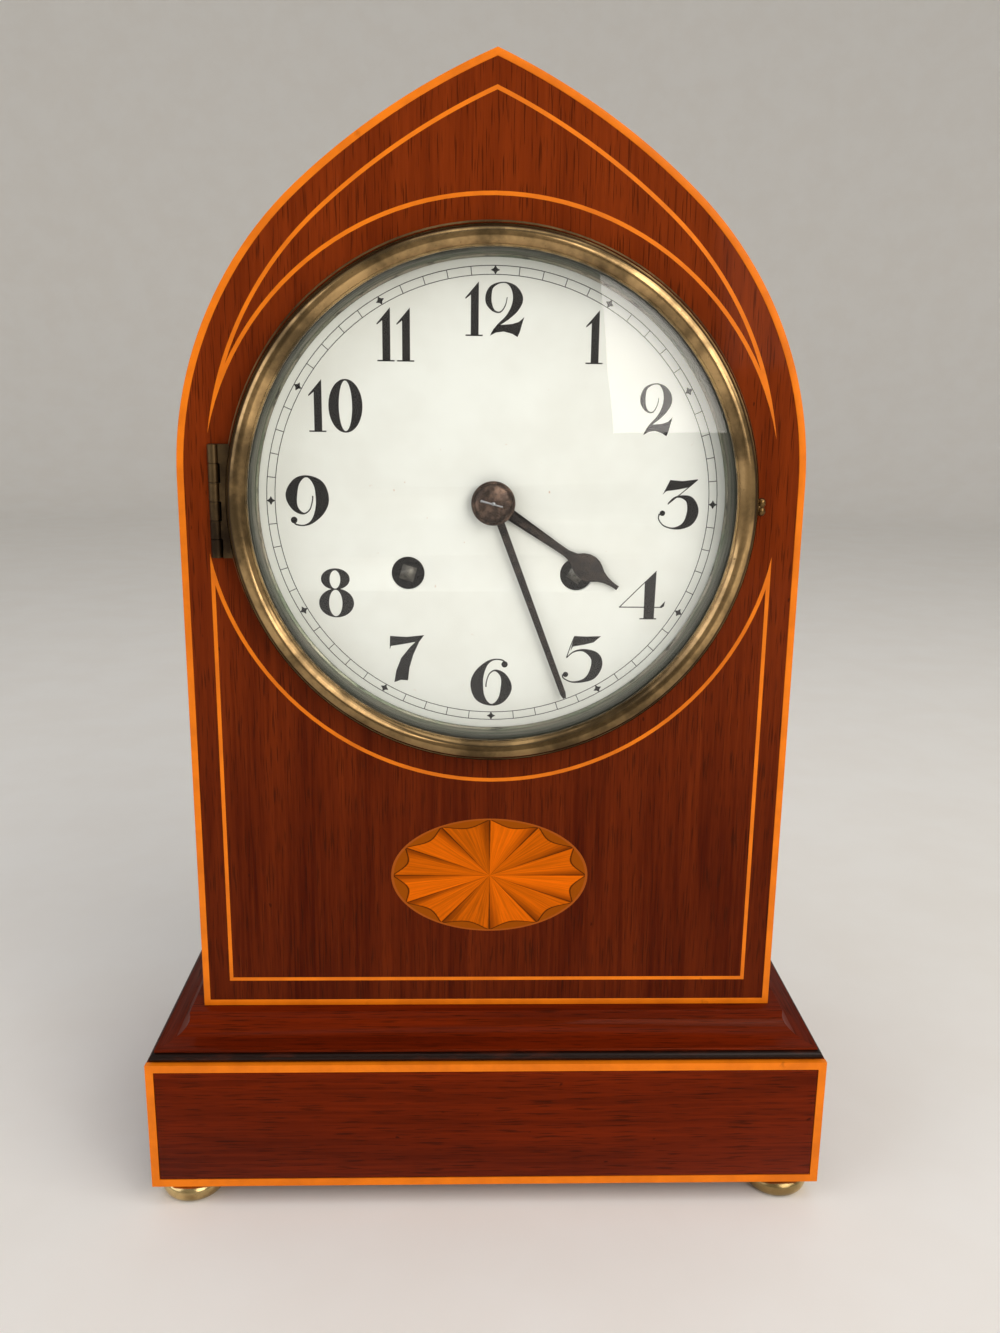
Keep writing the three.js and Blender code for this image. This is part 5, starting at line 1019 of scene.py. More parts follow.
def minute_track():
    """Two painted circles, a tick for each minute and a hollow-sided diamond for each five."""
    size = sizes()
    values = {
        "Inner radius": size.track_inner, "Outer radius": size.track_outer, "Line": size.track_line,
        "Diamond": size.diamond, "Thickness": size.paint, "Paint": coat_named("paint"),
        "Place": (0, DIAL_FRONT - size.paint / 2, DIAL_Z)}
    tree, given = geometry_tree("minute track", values)
    inner, outer, line = given["Inner radius"], given["Outer radius"], given["Line"]
    twice = add(tree, MATH, {0: inner, 1: outer}, operation="ADD")
    middle = add(tree, MATH, {0: twice, 1: 0.5}, operation="MULTIPLY")
    index, place, turn = on_circle(tree, middle, MINUTES)
    points = add(tree, "GeometryNodePoints", {"Count": MINUTES, "Position": place})
    past_mark = add(tree, MATH, {0: index, 1: DIAMOND_EVERY}, operation="MODULO")
    marked = add(tree, MATH, {0: past_mark, 1: 0.5}, operation="LESS_THAN")
    gap = add(tree, MATH, {0: outer, 1: inner}, operation="SUBTRACT")
    tick_size = add(tree, "ShaderNodeCombineXYZ", {"X": line, "Y": line, "Z": gap})
    tick = add(tree, "GeometryNodeMeshCube", {"Size": tick_size})
    star = add(tree, "GeometryNodeCurveStar", {
        "Points": 4, "Outer Radius": given["Diamond"],
        "Inner Radius": add(tree, MATH, {0: given["Diamond"], 1: 0.5}, operation="MULTIPLY")})
    filled = add(tree, "GeometryNodeFillCurve", {"Curve": star})
    raised = add(tree, "GeometryNodeExtrudeMesh", {
        "Mesh": filled, "Offset Scale": line, "Individual": False})
    under = add(tree, "GeometryNodeFlipFaces", {"Mesh": filled})
    both = add(tree, "GeometryNodeJoinGeometry", {0: [raised, under]})
    solid = add(tree, "GeometryNodeMergeByDistance", {"Geometry": both, "Distance": SAME_LOOSE})
    diamond = add(tree, "GeometryNodeTransform", {"Geometry": solid, "Rotation": (math.pi / 2, 0, 0)})
    ticks = add(tree, "GeometryNodeInstanceOnPoints", {
        "Points": points, "Instance": tick, "Rotation": turn,
        "Selection": add(tree, MATH, {0: 1.0, 1: marked}, operation="SUBTRACT")})
    diamonds = add(tree, "GeometryNodeInstanceOnPoints", {
        "Points": points, "Instance": diamond, "Rotation": turn, "Selection": marked})
    parts = [ticks, diamonds]
    for radius in (inner, outer):
        ring = add(tree, "GeometryNodeCurvePrimitiveCircle", {"Resolution": ROUND, "Radius": radius})
        section = add(tree, "GeometryNodeCurvePrimitiveQuadrilateral", {"Width": line, "Height": line})
        drawn = add(tree, "GeometryNodeCurveToMesh", {"Curve": ring, "Profile Curve": section})
        parts.append(add(tree, "GeometryNodeTransform", {
            "Geometry": drawn, "Rotation": (math.pi / 2, 0, 0)}))
    whole = add(tree, "GeometryNodeJoinGeometry", {0: parts})
    flat = add(tree, "ShaderNodeCombineXYZ", {
        "X": 1.0, "Y": add(tree, MATH, {0: given["Thickness"], 1: line}, operation="DIVIDE"), "Z": 1.0})
    set_down = add(tree, "GeometryNodeTransform", {
        "Geometry": whole, "Translation": given["Place"], "Scale": flat})
    realised(tree, set_down, given["Paint"])
    return grown(tree, values)


# Numerals are drawn in a box of this height from its lower left corner, and no stroke is thinner than
# a hairline. A stroke is a row of (x, z, width) knots on a smooth line, a block is an outline of (x, z),
# a ball is (x, z, radius) and an oval is (x, z, half width, half height) with its inner oval after it.
GLYPH_HEIGHT = 100
HAIRLINE = 1.2
STROKE_STEPS = 6
GLYPHS = {
    "0": {"width": 66, "ovals": [((33, 50, 33, 51), (33, 50, 13, 48))]},
    "1": {"width": 32, "blocks": [
        [(10, 1), (10, 76), (0, 68), (-1, 70), (12, 85), (25, 100), (25, 1)],
        [(0, 0), (33, 0), (33, 2.6), (0, 2.6)]]},
    "2": {"width": 65, "strokes": [[
        (36, 72, 1.4), (33, 57, 1.7), (25, 45, 2.4), (14, 47, 4), (6, 60, 9.5), (5, 75, 10), (10, 90, 6),
        (23, 98, 2.6), (36, 98, 3), (48, 88, 11), (54, 70, 17), (49, 52, 14), (37, 35, 8), (21, 20, 4),
        (11, 5, 3)]],
        "blocks": [[(8, 1), (14, 14), (25, 21), (45, 23), (56, 27), (65, 36), (61, 22), (58, 9), (54, -1),
                    (45, 5), (31, 9), (18, 7)]]},
    "3": {"width": 80, "strokes": [
        [(79, 99, 1.8), (50, 74, 1.8), (21, 50, 2)],
        [(22, 52, 2), (34, 63, 3), (49, 65, 6), (65, 58, 16), (72, 38, 23), (66, 18, 20), (52, 6, 10),
         (34, 2, 3.6), (15, 7, 2.4), (4, 20, 2.2), (5, 31, 2.6)]],
        "blocks": [[(24, 98), (49, 96), (80, 100), (62, 84), (39, 79), (17, 76), (10, 69)]],
        "balls": [(11, 32, 5.5)]},
    "4": {"width": 92, "strokes": [[(74, 99, 1.8), (37, 62, 1.8), (1, 25, 1.8)],
                                   [(0, 25, 2), (44, 25, 2), (88, 25, 2)]],
          "blocks": [[(51, 1), (51, 76), (74, 100), (72, 1)], [(82, 24), (94, 38), (92, 27), (87, 24)],
                     [(43, 0), (77, 0), (77, 2.4), (43, 2.4)]]},
    "5": {"width": 80, "strokes": [
        [(25, 97, 1.8), (17, 75, 1.8), (10, 53, 1.8)],
        [(10, 53, 1.8), (25, 66, 3), (46, 69, 6), (68, 57, 19), (73, 39, 23), (64, 17, 18), (46, 5, 7),
         (23, 2, 3), (5, 10, 2.4), (3, 18, 2.6)]],
        "blocks": [[(25, 99), (50, 98), (80, 99), (65, 86), (46, 81), (23, 77), (18, 68)]],
        "balls": [(9, 18, 5.5)]},
    "6": {"width": 88, "strokes": [[
        (73, 90, 3), (66, 97, 3), (49, 98, 3), (33, 89, 8), (19, 68, 20), (14, 45, 26), (21, 18, 20),
        (43, 2, 4), (64, 12, 14), (75, 38, 23), (69, 63, 13), (53, 75, 4), (40, 68, 2.4), (34, 51, 2.2),
        (33, 40, 2.6)]],
        "balls": [(71, 88, 6.5)]},
    "7": {"width": 89, "stretch": 0.8, "blocks": [
        [(2, 97), (44, 95), (89, 99), (74, 86), (34, 80), (4, 76), (1, 69)],
        [(88.4, 98.6), (76, 85), (61, 58), (51, 31), (47, 4), (29, 5), (12, 0), (17, 24), (30, 51), (54, 75),
         (67, 85)]]},
    "8": {"width": 90, "stretch": 0.79, "ovals": [
        ((43, 78.5, 36.5, 21.5), (42, 77.5, 13.5, 18.5)), ((45, 29.5, 44.5, 29.5), (43, 29.5, 17, 27))]},
}
DIGIT_GAP = 6
TWELVE_STRETCH = 1.15
# How far each hour strays sideways from its true place, as set out by hand, in millimetres
STRAY = {1: 1.2, 4: -2.0, 7: 1.5, 8: 0.6, 10: 1.5, 11: -1.0}


def smooth_line(knots):
    """Knots with a smooth line's points put between them."""
    ends = [knots[0], *knots, knots[-1]]
    points = []
    for before, here, there, after in zip(ends, ends[1:], ends[2:], ends[3:]):
        for step in range(STROKE_STEPS):
            t = step / STROKE_STEPS
            points.append(tuple(
                0.5 * (2 * b + (c - a) * t + (2 * a - 5 * b + 4 * c - d) * t * t
                       + (3 * b - a - 3 * c + d) * t ** 3)
                for a, b, c, d in zip(before, here, there, after)))
    return points + [knots[-1]]


def brush(shape, knots, to_dial):
    """A stroke of changing width."""
    line = smooth_line(knots)
    rows = []
    for place, (x, z, width) in enumerate(line):
        back, ahead = line[max(place - 1, 0)], line[min(place + 1, len(line) - 1)]
        along = Vector((ahead[0] - back[0], ahead[1] - back[1])).normalized()
        side = Vector((-along.y, along.x)) * max(width, HAIRLINE) / 2
        rows.append([shape.verts.new(to_dial(x + side.x, z + side.y)),
                     shape.verts.new(to_dial(x - side.x, z - side.y))])
    for (a, b), (c, d) in zip(rows, rows[1:]):
        shape.faces.new((a, b, d, c))


def drawing(digit):
    """The drawing of a digit: a nine has that of a six."""
    return GLYPHS["6" if digit == "9" else digit]


def glyph(shape, digit, to_dial):
    """One digit, drawn from its left edge. A nine is a six turned half round."""
    drawn = drawing(digit)

    def spot(x, z):
        return to_dial(drawn["width"] - x, GLYPH_HEIGHT - z) if digit == "9" else to_dial(x, z)

    for knots in drawn.get("strokes", []):
        brush(shape, knots, spot)
    for outline in drawn.get("blocks", []):
        shape.faces.new([shape.verts.new(spot(x, z)) for x, z in outline])
    for x, z, radius in drawn.get("balls", []):
        shape.faces.new([shape.verts.new(spot(*place)) for place in circle(radius, SMALL, x, z)])
    for outer, inner in drawn.get("ovals", []):
        rings = [[shape.verts.new(spot(x + half_x * u, z + half_z * v)) for u, v in circle(1, DRUM)]
                 for x, z, half_x, half_z in (outer, inner)]
        for step in range(DRUM):
            after = (step + 1) % DRUM
            shape.faces.new((rings[0][step], rings[0][after], rings[1][after], rings[1][step]))


def numerals():
    """The hours one to twelve, upright, in fat black old-style figures."""
    size = sizes()
    unit = size.numeral_height / GLYPH_HEIGHT
    shape = bmesh.new()
    for hour in range(1, HOURS + 1):
        digits = str(hour)
        stretches = [drawing(digit).get("stretch", 1.0) for digit in digits]
        if hour == HOURS:
            stretches[1] = TWELVE_STRETCH
        widths = [stretch * drawing(digit)["width"] for digit, stretch in zip(digits, stretches)]
        total = sum(widths) + DIGIT_GAP * (len(digits) - 1)
        angle = 2 * math.pi * hour / HOURS
        left = size.numeral_circle * math.sin(angle) + STRAY.get(hour, 0) * MM - unit * total / 2
        foot = DIAL_Z + size.numeral_circle * math.cos(angle) - unit * (GLYPH_HEIGHT / 2)
        for digit, stretch, width in zip(digits, stretches, widths):
            glyph(shape, digit, lambda x, z: (
                left + unit * stretch * x, DIAL_FRONT - size.paint, foot + unit * z))
            left += unit * (width + DIGIT_GAP)
    for face in shape.faces:
        face.normal_update()
        if face.normal.y > 0:
            face.normal_flip()
    made = bmesh.ops.extrude_face_region(shape, geom=shape.faces[:])
    raised = [part for part in made["geom"] if isinstance(part, bmesh.types.BMVert)]
    bmesh.ops.translate(shape, vec=(0, -size.paint / 2, 0), verts=raised)
    bmesh.ops.recalc_face_normals(shape, faces=shape.faces)
    bmesh.ops.triangulate(shape, faces=[face for face in shape.faces if len(face.verts) > 4])
    return shape


# Bezel, glass and hinge

BEZEL_HALF = 3.4 * MM
BEZEL_BAND = 2.6 * MM
LIP_ANGLE = 150
GROOVE_ANGLE = 42
GROOVE = 0.55 * MM
# The groove's line: degrees past its middle, and depth
GROOVE_LINE = ((-6, 0.15 * MM), (0, GROOVE), (5, GROOVE), (9, 0.1 * MM))
ROUND_STEP = 6
GROOVE_RADIUS = BEZEL_RADIUS - BEZEL_HALF + (BEZEL_HALF - GROOVE) * math.cos(math.radians(GROOVE_ANGLE))
LIP = 0.75 * MM
GLASS_CLEARANCE = 0.2 * MM
GLASS_THICKNESS = 1.4 * MM
GLASS_RISE = 4.2 * MM
GLASS_STEPS = 20
SIGHT_STEP = 1.6 * MM
SIGHT_WIDTH = 1.8 * MM
SIGHT_BEAD = 0.45 * MM
SIGHT_EDGE = 0.2 * MM
SIGHT_FLANGE = 1.0 * MM
SIGHT_NECK = 1.6 * MM
# Where the splay meets the bead: out from the inner edge, and forward of the foot
SPLAY_OUT = 0.7 * MM
SPLAY_FORWARD = 1.1 * MM
KNOB_LOBE = 1.25 * MM
KNOB_HALF = 2.6 * MM
KNOB_WAIST = 0.62
KNOB_STEPS = 24
KNOB_ROOM = 0.1 * MM
# Powers that shape the knob: a low one fills out its lobes, and a high one squares its ends
LOBE_POWER = 0.6
END_POWER = 6
KNOB_ROOT = BEZEL_RADIUS - 0.6 * MM
STEM_ROOT = 0.95 * MM
STEM_TIP = 0.7 * MM


class CLOCK_OT_bezel(bpy.types.Operator):
    """Spins the bezel, its sight ring and the domed glass, and fits the opening knob"""
    bl_idname = "clock.bezel"
    bl_label = "Bezel and glass"

    def execute(self, context):
        piece("bezel_spun", bezel_ring(), "brass", "bezel_frame", ["bezel"])
        piece("bezel_knob", opening_knob(), "knob brass", "bezel_frame")
        piece("sight_ring_spun", sight_ring(), "verdigris", "bezel_frame", ["sight_ring"])
        piece("domed_glass", domed_glass(), "glass", "bezel_frame", ["glass"])
        # The hinge's darker brass is painted shade.
        dress("hinge brass", "bezel_hinge_fixed_leaf", "bezel_hinge_moving_leaf", "bezel_hinge_pin")
        return {"FINISHED"}


def bezel_ring():
    """Two rounds with a groove between them, and a lip that holds the glass."""
    crown_radius = BEZEL_RADIUS - BEZEL_HALF
    crown_depth = BEZEL_BACK - BEZEL_BAND
    rise = crown_depth - BEZEL_LOW.y
    glass_radius = GLASS_HIGH.z - DIAL_Z + GLASS_CLEARANCE

    def crown(degrees, inset=0.0):
        turn = math.radians(degrees)
        radius = crown_radius + (BEZEL_HALF - inset) * math.cos(turn)
        return radius, crown_depth - (rise - inset) * math.sin(turn)

    outer_round = [crown(a) for a in range(0, GROOVE_ANGLE - ROUND_STEP + 1, ROUND_STEP)]
    groove = [crown(GROOVE_ANGLE + past, inset) for past, inset in GROOVE_LINE]
    main_round = [crown(a) for a in range(GROOVE_ANGLE + 2 * ROUND_STEP, LIP_ANGLE + 1, ROUND_STEP)]
    lip_radius, lip_front = main_round[-1]
    profile = [(BEZEL_RADIUS, BEZEL_BACK), *outer_round, *groove, *main_round,
               (lip_radius, lip_front + LIP), (glass_radius, lip_front + LIP), (glass_radius, BEZEL_BACK)]
    return turned(profile, ROUND, CENTRE)


def opening_knob():
    """Two small lobes on a stem, by which the bezel is opened."""
    middle = Vector((BEZEL_HIGH.x - KNOB_LOBE, BEZEL_BACK - KNOB_LOBE - KNOB_ROOM, DIAL_Z))
    profile = [(0, -KNOB_HALF)]
    for step in range(1, KNOB_STEPS):
        height = -KNOB_HALF + 2 * KNOB_HALF * step / KNOB_STEPS
        swell = abs(math.sin(math.pi * height / KNOB_HALF)) ** LOBE_POWER
        ends = math.sqrt(max(0, 1 - (height / KNOB_HALF) ** END_POWER))
        profile.append((KNOB_LOBE * ends * (KNOB_WAIST + (1 - KNOB_WAIST) * swell), height))
    profile.append((0, KNOB_HALF))
    knob = turned(profile, SMALL, middle, upright=True)
    rod = [(0, KNOB_ROOT), (STEM_ROOT, KNOB_ROOT), (STEM_TIP, middle.x), (0, middle.x)]
    stem = turned(rod, SMALL, Vector((0, 0, 0)))
    across = Matrix.Translation((0, middle.y, DIAL_Z)) @ Matrix.Rotation(-math.pi / 2, 4, "Z")
    bmesh.ops.transform(stem, matrix=across, verts=stem.verts)
    return joined(knob, stem)


def sight_ring():
    """A splayed ring from the glass down to the dial, with a bead at its foot."""
    front, back = SIGHT_LOW.y, SIGHT_HIGH.y
    outer = SIGHT_HIGH.z - DIAL_Z
    foot = DIAL_RADIUS
    inner = foot - SIGHT_WIDTH
    bead = SIGHT_BEAD
    turns = [math.radians(a) for a in range(-90, 91, 30)]
    foot_bead = [(inner + bead - bead * math.cos(a), back - bead - bead * math.sin(a)) for a in turns]
    step = inner + SIGHT_STEP
    profile = [*foot_bead, (inner + SPLAY_OUT, back - SPLAY_FORWARD), (step, front + SIGHT_EDGE),
               (step + SIGHT_EDGE, front), (outer, front), (outer, front + SIGHT_FLANGE),
               (foot, front + SIGHT_NECK), (foot, back)]
    return turned(profile, ROUND, CENTRE)


def domed_glass():
    """The glass: a shallow dome of even thickness."""
    radius = GLASS_HIGH.z - DIAL_Z
    front = [(radius * step / GLASS_STEPS, GLASS_LOW.y + GLASS_RISE * (step / GLASS_STEPS) ** 2)
             for step in range(GLASS_STEPS + 1)]
    back = [(r, depth + GLASS_THICKNESS) for r, depth in reversed(front)]
    return turned(front + back, ROUND, CENTRE)


# Hands

MINUTE_ANGLE = 159.2
HOUR_ANGLE = 123.7
HUB = 4.6 * MM
HAND_EDGE = 0.12 * MM
# Half of each hand's outline, from its hub to its tip: half width and distance from the centre, and
# its bore's radius, in millimetres
MINUTE_HALF = [(1.15, 3), (1.0, 30), (0.86, 58.8), (0.6, 59.9), (0.45, 60.4)]
MINUTE_BORE = 1.7
HOUR_HALF = [(1.1, 3), (1.1, 25.5), (1.7, 28), (2.9, 29.6), (3.6, 31.2), (3.8, 33), (3.45, 34.6),
             (2.7, 36), (1.75, 37.4), (1.1, 39), (0.72, 41), (0.62, 42.4), (0.7, 43.3)]
HOUR_BORE = 2.7
PIN_HALF = 3.2 * MM
PIN_THICK = 0.36 * MM
PIN_THIN = 0.24 * MM
PIN_TURN = 105
PIN_ASIDE = -0.5 * MM
PIN_DEPTH = 0.2 * MM
ARBOR_END = 0.55 * MM
ARBOR_DOME = 0.3 * MM
ARBOR_DEPTH = 0.5 * MM


class CLOCK_OT_hands(bpy.types.Operator):
    """Cuts the bronzed hands and turns the boss that holds them"""
    bl_idname = "clock.hands"
    bl_label = "Hands"

    def execute(self, context):
        minute = hand("minute_hand", MINUTE_HALF, MINUTE_ANGLE, MINUTE_BORE)
        piece("minute_hand_bronzed", minute, "bronzed", "minute_work", ["minute_hand"])
        hour = hand("hour_hand", HOUR_HALF, HOUR_ANGLE, HOUR_BORE)
        piece("hour_hand_bronzed", hour, "bronzed", "hour_work", ["hour_hand"])
        piece("hand_boss", boss(), "boss bronze", "minute_work", ["hand_collet"])
        piece("hand_pin", boss_pin(), "steel", "minute_work")
        return {"FINISHED"}


def hand(node, half, degrees, bore):
    """A hand from one side of its outline, turned to its time."""
    low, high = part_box(node)
    right = [(x * MM, z * MM) for x, z in half]
    left = [(-x, z) for x, z in reversed(right)]
    start = math.degrees(math.asin(right[0][0] / HUB))
    hub = arc(HUB, 90 + start, 450 - start, DRUM)
    outline = clockwise(hub[1:-1] + right + left, degrees)
    return moved(plate([outline, circle(bore * MM, SMALL)], low.y, high.y, HAND_EDGE), CENTRE)


def boss():
    """A low dome with a flat rim."""
    low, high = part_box("hand_collet")
    radius = high.z - DIAL_Z
    rise = high.y - low.y
    rim = 0.35 * rise
    shoulder, dome_foot = 0.97 * radius, 0.86 * radius
    turns = [math.radians(a) for a in range(0, 91, 9)]
    dome = [(dome_foot * math.cos(a), high.y - rim - (rise - rim) * math.sin(a)) for a in turns]
    profile = [(0, high.y), (radius, high.y), (radius, high.y - 0.7 * rim), (shoulder, high.y - rim), *dome]
    return turned(profile, DRUM, CENTRE)


def boss_pin():
    """The tapered pin across the boss, and the bright end of the arbor that it holds."""
    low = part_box("hand_collet")[0]
    rod = [(0, -PIN_HALF), (PIN_THICK, -PIN_HALF), (PIN_THIN, PIN_HALF), (0, PIN_HALF)]
    pin = turned(rod, SMALL, Vector((0, 0, 0)), upright=True)
    across = Matrix.Rotation(math.radians(PIN_TURN), 4, "Y")
    tilt = Matrix.Translation((PIN_ASIDE, low.y + PIN_DEPTH, DIAL_Z)) @ across
    bmesh.ops.transform(pin, matrix=tilt, verts=pin.verts)
    turns = [math.radians(a) for a in range(0, 91, 15)]
    tip = [(ARBOR_END * math.cos(a), low.y - ARBOR_DOME * math.sin(a)) for a in turns]
    sunk = low.y + ARBOR_DEPTH
    end = turned([(0, sunk), (ARBOR_END, sunk), *tip], SMALL, CENTRE)
    return joined(pin, end)


# Back and movement

RING_SHEET = 1.4 * MM
RING_BORE = 60.2 * MM
RING_BODY = 61.7 * MM
RING_LIP = 54.2 * MM
DOOR_SHEET = 1.4 * MM
DOOR_DISH = 1.6 * MM
DOOR_FRONT = DOOR_HIGH.y - DOOR_DISH - DOOR_SHEET
SPUN_EDGE = 0.4 * MM
DOOR_EDGE = 0.5 * MM
DISH_ROUND = 0.6 * MM
# The turned line on the door: how deep it is, and the radii of its edges and floor
LINE_DEPTH = 0.35 * MM
LINE_RADII = (40 * MM, 40.4 * MM, 41 * MM, 41.4 * MM)
HINGE_HALF = (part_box("bezel_hinge_pin")[1].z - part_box("bezel_hinge_pin")[0].z) / 2
BACK_KNUCKLES = 3
KNUCKLE_RADIUS = 1.65 * MM
KNUCKLE_GAP = 0.1 * MM
KNUCKLE_CHAMFER = 0.25 * MM
# The sheet that joins a knuckle to the ring or door: its thickness, its room, and its reach from the pin
WEB_SHEET = 0.7 * MM
WEB_ROOM = 0.1 * MM
WEB_START = 0.3 * MM
WEB_END = 8 * MM
SCREW_COUNT = 4
SCREW_INSET = 3.4 * MM
SCREW_RISE = 0.3 * MM
SCREW_SLOT = 0.7 * MM
SCREW_PLACE = 0.14 * MM
# A screw head's top as a share of its radius, how long the slot's cutter is in radii and how high it
# stands in heights, and the angle that the slots stopped at
SCREW_TOP = 0.78
SLOT_LENGTH = 3.0
SLOT_LIFT = 1.4
SLOT_ANGLE = 0.7
RATCHET_TEETH = 20
GONG_LOOPS = 3
GONG_STEPS = 72
GONG_SIDES = 14
GONG_WIRE = 1.8 * MM
GONG_INNER = 14 * MM
GONG_PITCH = 10 * MM
GONG_Z = DIAL_Z - 80 * MM


class CLOCK_OT_back(bpy.types.Operator):
    """Spins the back ring and its door, and drives the ring's screws"""
    bl_idname = "clock.back"
    bl_label = "Back door"

    def execute(self, context):
        ring = joined(back_ring(), *back_knuckles(False))
        piece("back_ring_spun", ring, "door brass", "clock_case", ["back_ring"])
        door = joined(back_door(), *back_knuckles(True))
        piece("back_door_spun", door, "door brass", "rear_door", ["back_door"])
        settle("back_ring_screws", ring_screws(), "steel", "clock_case")
        return {"FINISHED"}


def back_ring():
    """A flanged ring let into the back board, with a lip for the straps."""
    flange = RING_HIGH.x
    sheet = CASE_BACK + RING_SHEET
    profile = [(RING_LIP, RING_LOW.y), (RING_BODY, RING_LOW.y), (RING_BODY, CASE_BACK), (flange, CASE_BACK),
               (flange, sheet - SPUN_EDGE), (flange - SPUN_EDGE, sheet), (RING_BORE + SPUN_EDGE, sheet),
               (RING_BORE, sheet - SPUN_EDGE), (RING_BORE, RING_LOW.y + RING_SHEET),
               (RING_LIP, RING_LOW.y + RING_SHEET)]
    return turned(profile, ROUND, CENTRE)


def back_door():
    """A dished door with a rounded rim and a turned line."""
    rim = DOOR_HIGH.x
    top = DOOR_HIGH.y
    base = DOOR_FRONT
    dish = RING_LIP
    line_depths = (top, top - LINE_DEPTH, top - LINE_DEPTH, top)
    flat = top - DOOR_DISH
    profile = [(0, top), *zip(LINE_RADII, line_depths), (dish - DOOR_DISH, top),
               (dish - DISH_ROUND, top - DOOR_EDGE), (dish, flat), (rim - DOOR_EDGE, flat),
               (rim, flat - DOOR_EDGE), (rim, base), (dish, base), (dish - DOOR_DISH, base + DOOR_DISH),
               (0, base + DOOR_DISH)]
    return turned(profile, ROUND, CENTRE)


def back_knuckles(swinging):
    """The hinge barrels and webs of the back door: odd ones swing and even ones stay."""
    joint = next(j for j in frame["joints"] if j["name"] == "back_door_hinge")
    axis = Vector(joint["pos_m"])
    low = DIAL_Z - HINGE_HALF
    pitch = 2 * HINGE_HALF / BACK_KNUCKLES
    radius = KNUCKLE_RADIUS
    worn = radius - KNUCKLE_CHAMFER
    near, far = axis.x + WEB_START, axis.x + WEB_END
    front = DOOR_FRONT if swinging else CASE_BACK + WEB_ROOM
    for row in range(BACK_KNUCKLES):
        if (row % 2 == 1) == swinging:
            start, end = low + row * pitch + KNUCKLE_GAP, low + (row + 1) * pitch - KNUCKLE_GAP
            profile = [(0, start), (worn, start), (radius, start + KNUCKLE_CHAMFER),
                       (radius, end - KNUCKLE_CHAMFER), (worn, end), (0, end)]
            yield turned(profile, SMALL, Vector((axis.x, axis.y, 0)), upright=True)
            yield plate([[(near, start), (far, start), (far, end), (near, end)]], front, front + WEB_SHEET)


def ring_screws():
    """Slotted screw heads round the back ring's flange."""
    values = {
        "Count": SCREW_COUNT, "Circle": (RING_HIGH.x + DOOR_HIGH.x) / 2 - SCREW_INSET,
        "Head": sizes().screw_head, "Height": SCREW_RISE, "Slot": SCREW_SLOT, "Turn": math.pi / SCREW_COUNT,
        "Place": (0, CASE_BACK + RING_SHEET + SCREW_PLACE, DIAL_Z), "Steel": coat_named("steel")}
    tree, given = geometry_tree("ring screws", values)
    head, height = given["Head"], given["Height"]
    place, turn = on_circle(tree, given["Circle"], given["Count"])[1:]
    points = add(tree, "GeometryNodePoints", {"Count": given["Count"], "Position": place})
    top = add(tree, MATH, {0: head, 1: SCREW_TOP}, operation="MULTIPLY")
    dome = add(tree, "GeometryNodeMeshCone", {
        "Vertices": SMALL, "Radius Top": top, "Radius Bottom": head, "Depth": height})
    reach = add(tree, MATH, {0: head, 1: SLOT_LENGTH}, operation="MULTIPLY")
    slot_size = add(tree, "ShaderNodeCombineXYZ", {"X": reach, "Y": given["Slot"], "Z": height})
    slot = add(tree, "GeometryNodeMeshCube", {"Size": slot_size})
    lift = add(tree, MATH, {0: height, 1: SLOT_LIFT}, operation="MULTIPLY")
    lifted = add(tree, "GeometryNodeTransform", {
        "Geometry": slot, "Rotation": (0, 0, SLOT_ANGLE),
        "Translation": add(tree, "ShaderNodeCombineXYZ", {"Z": lift})})
    cut = add(tree, "GeometryNodeMeshBoolean", {"Mesh 1": dome, "Mesh 2": lifted}, operation="DIFFERENCE")
    facing = add(tree, "GeometryNodeTransform", {"Geometry": cut, "Rotation": (-math.pi / 2, 0, 0)})
    heads = add(tree, "GeometryNodeInstanceOnPoints", {
        "Points": points, "Instance": facing, "Rotation": turn})
    spun = add(tree, "GeometryNodeTransform", {
        "Geometry": heads, "Translation": given["Place"],
        "Rotation": add(tree, "ShaderNodeCombineXYZ", {"Y": given["Turn"]})})
    realised(tree, spun, given["Steel"])
    return grown(tree, values)


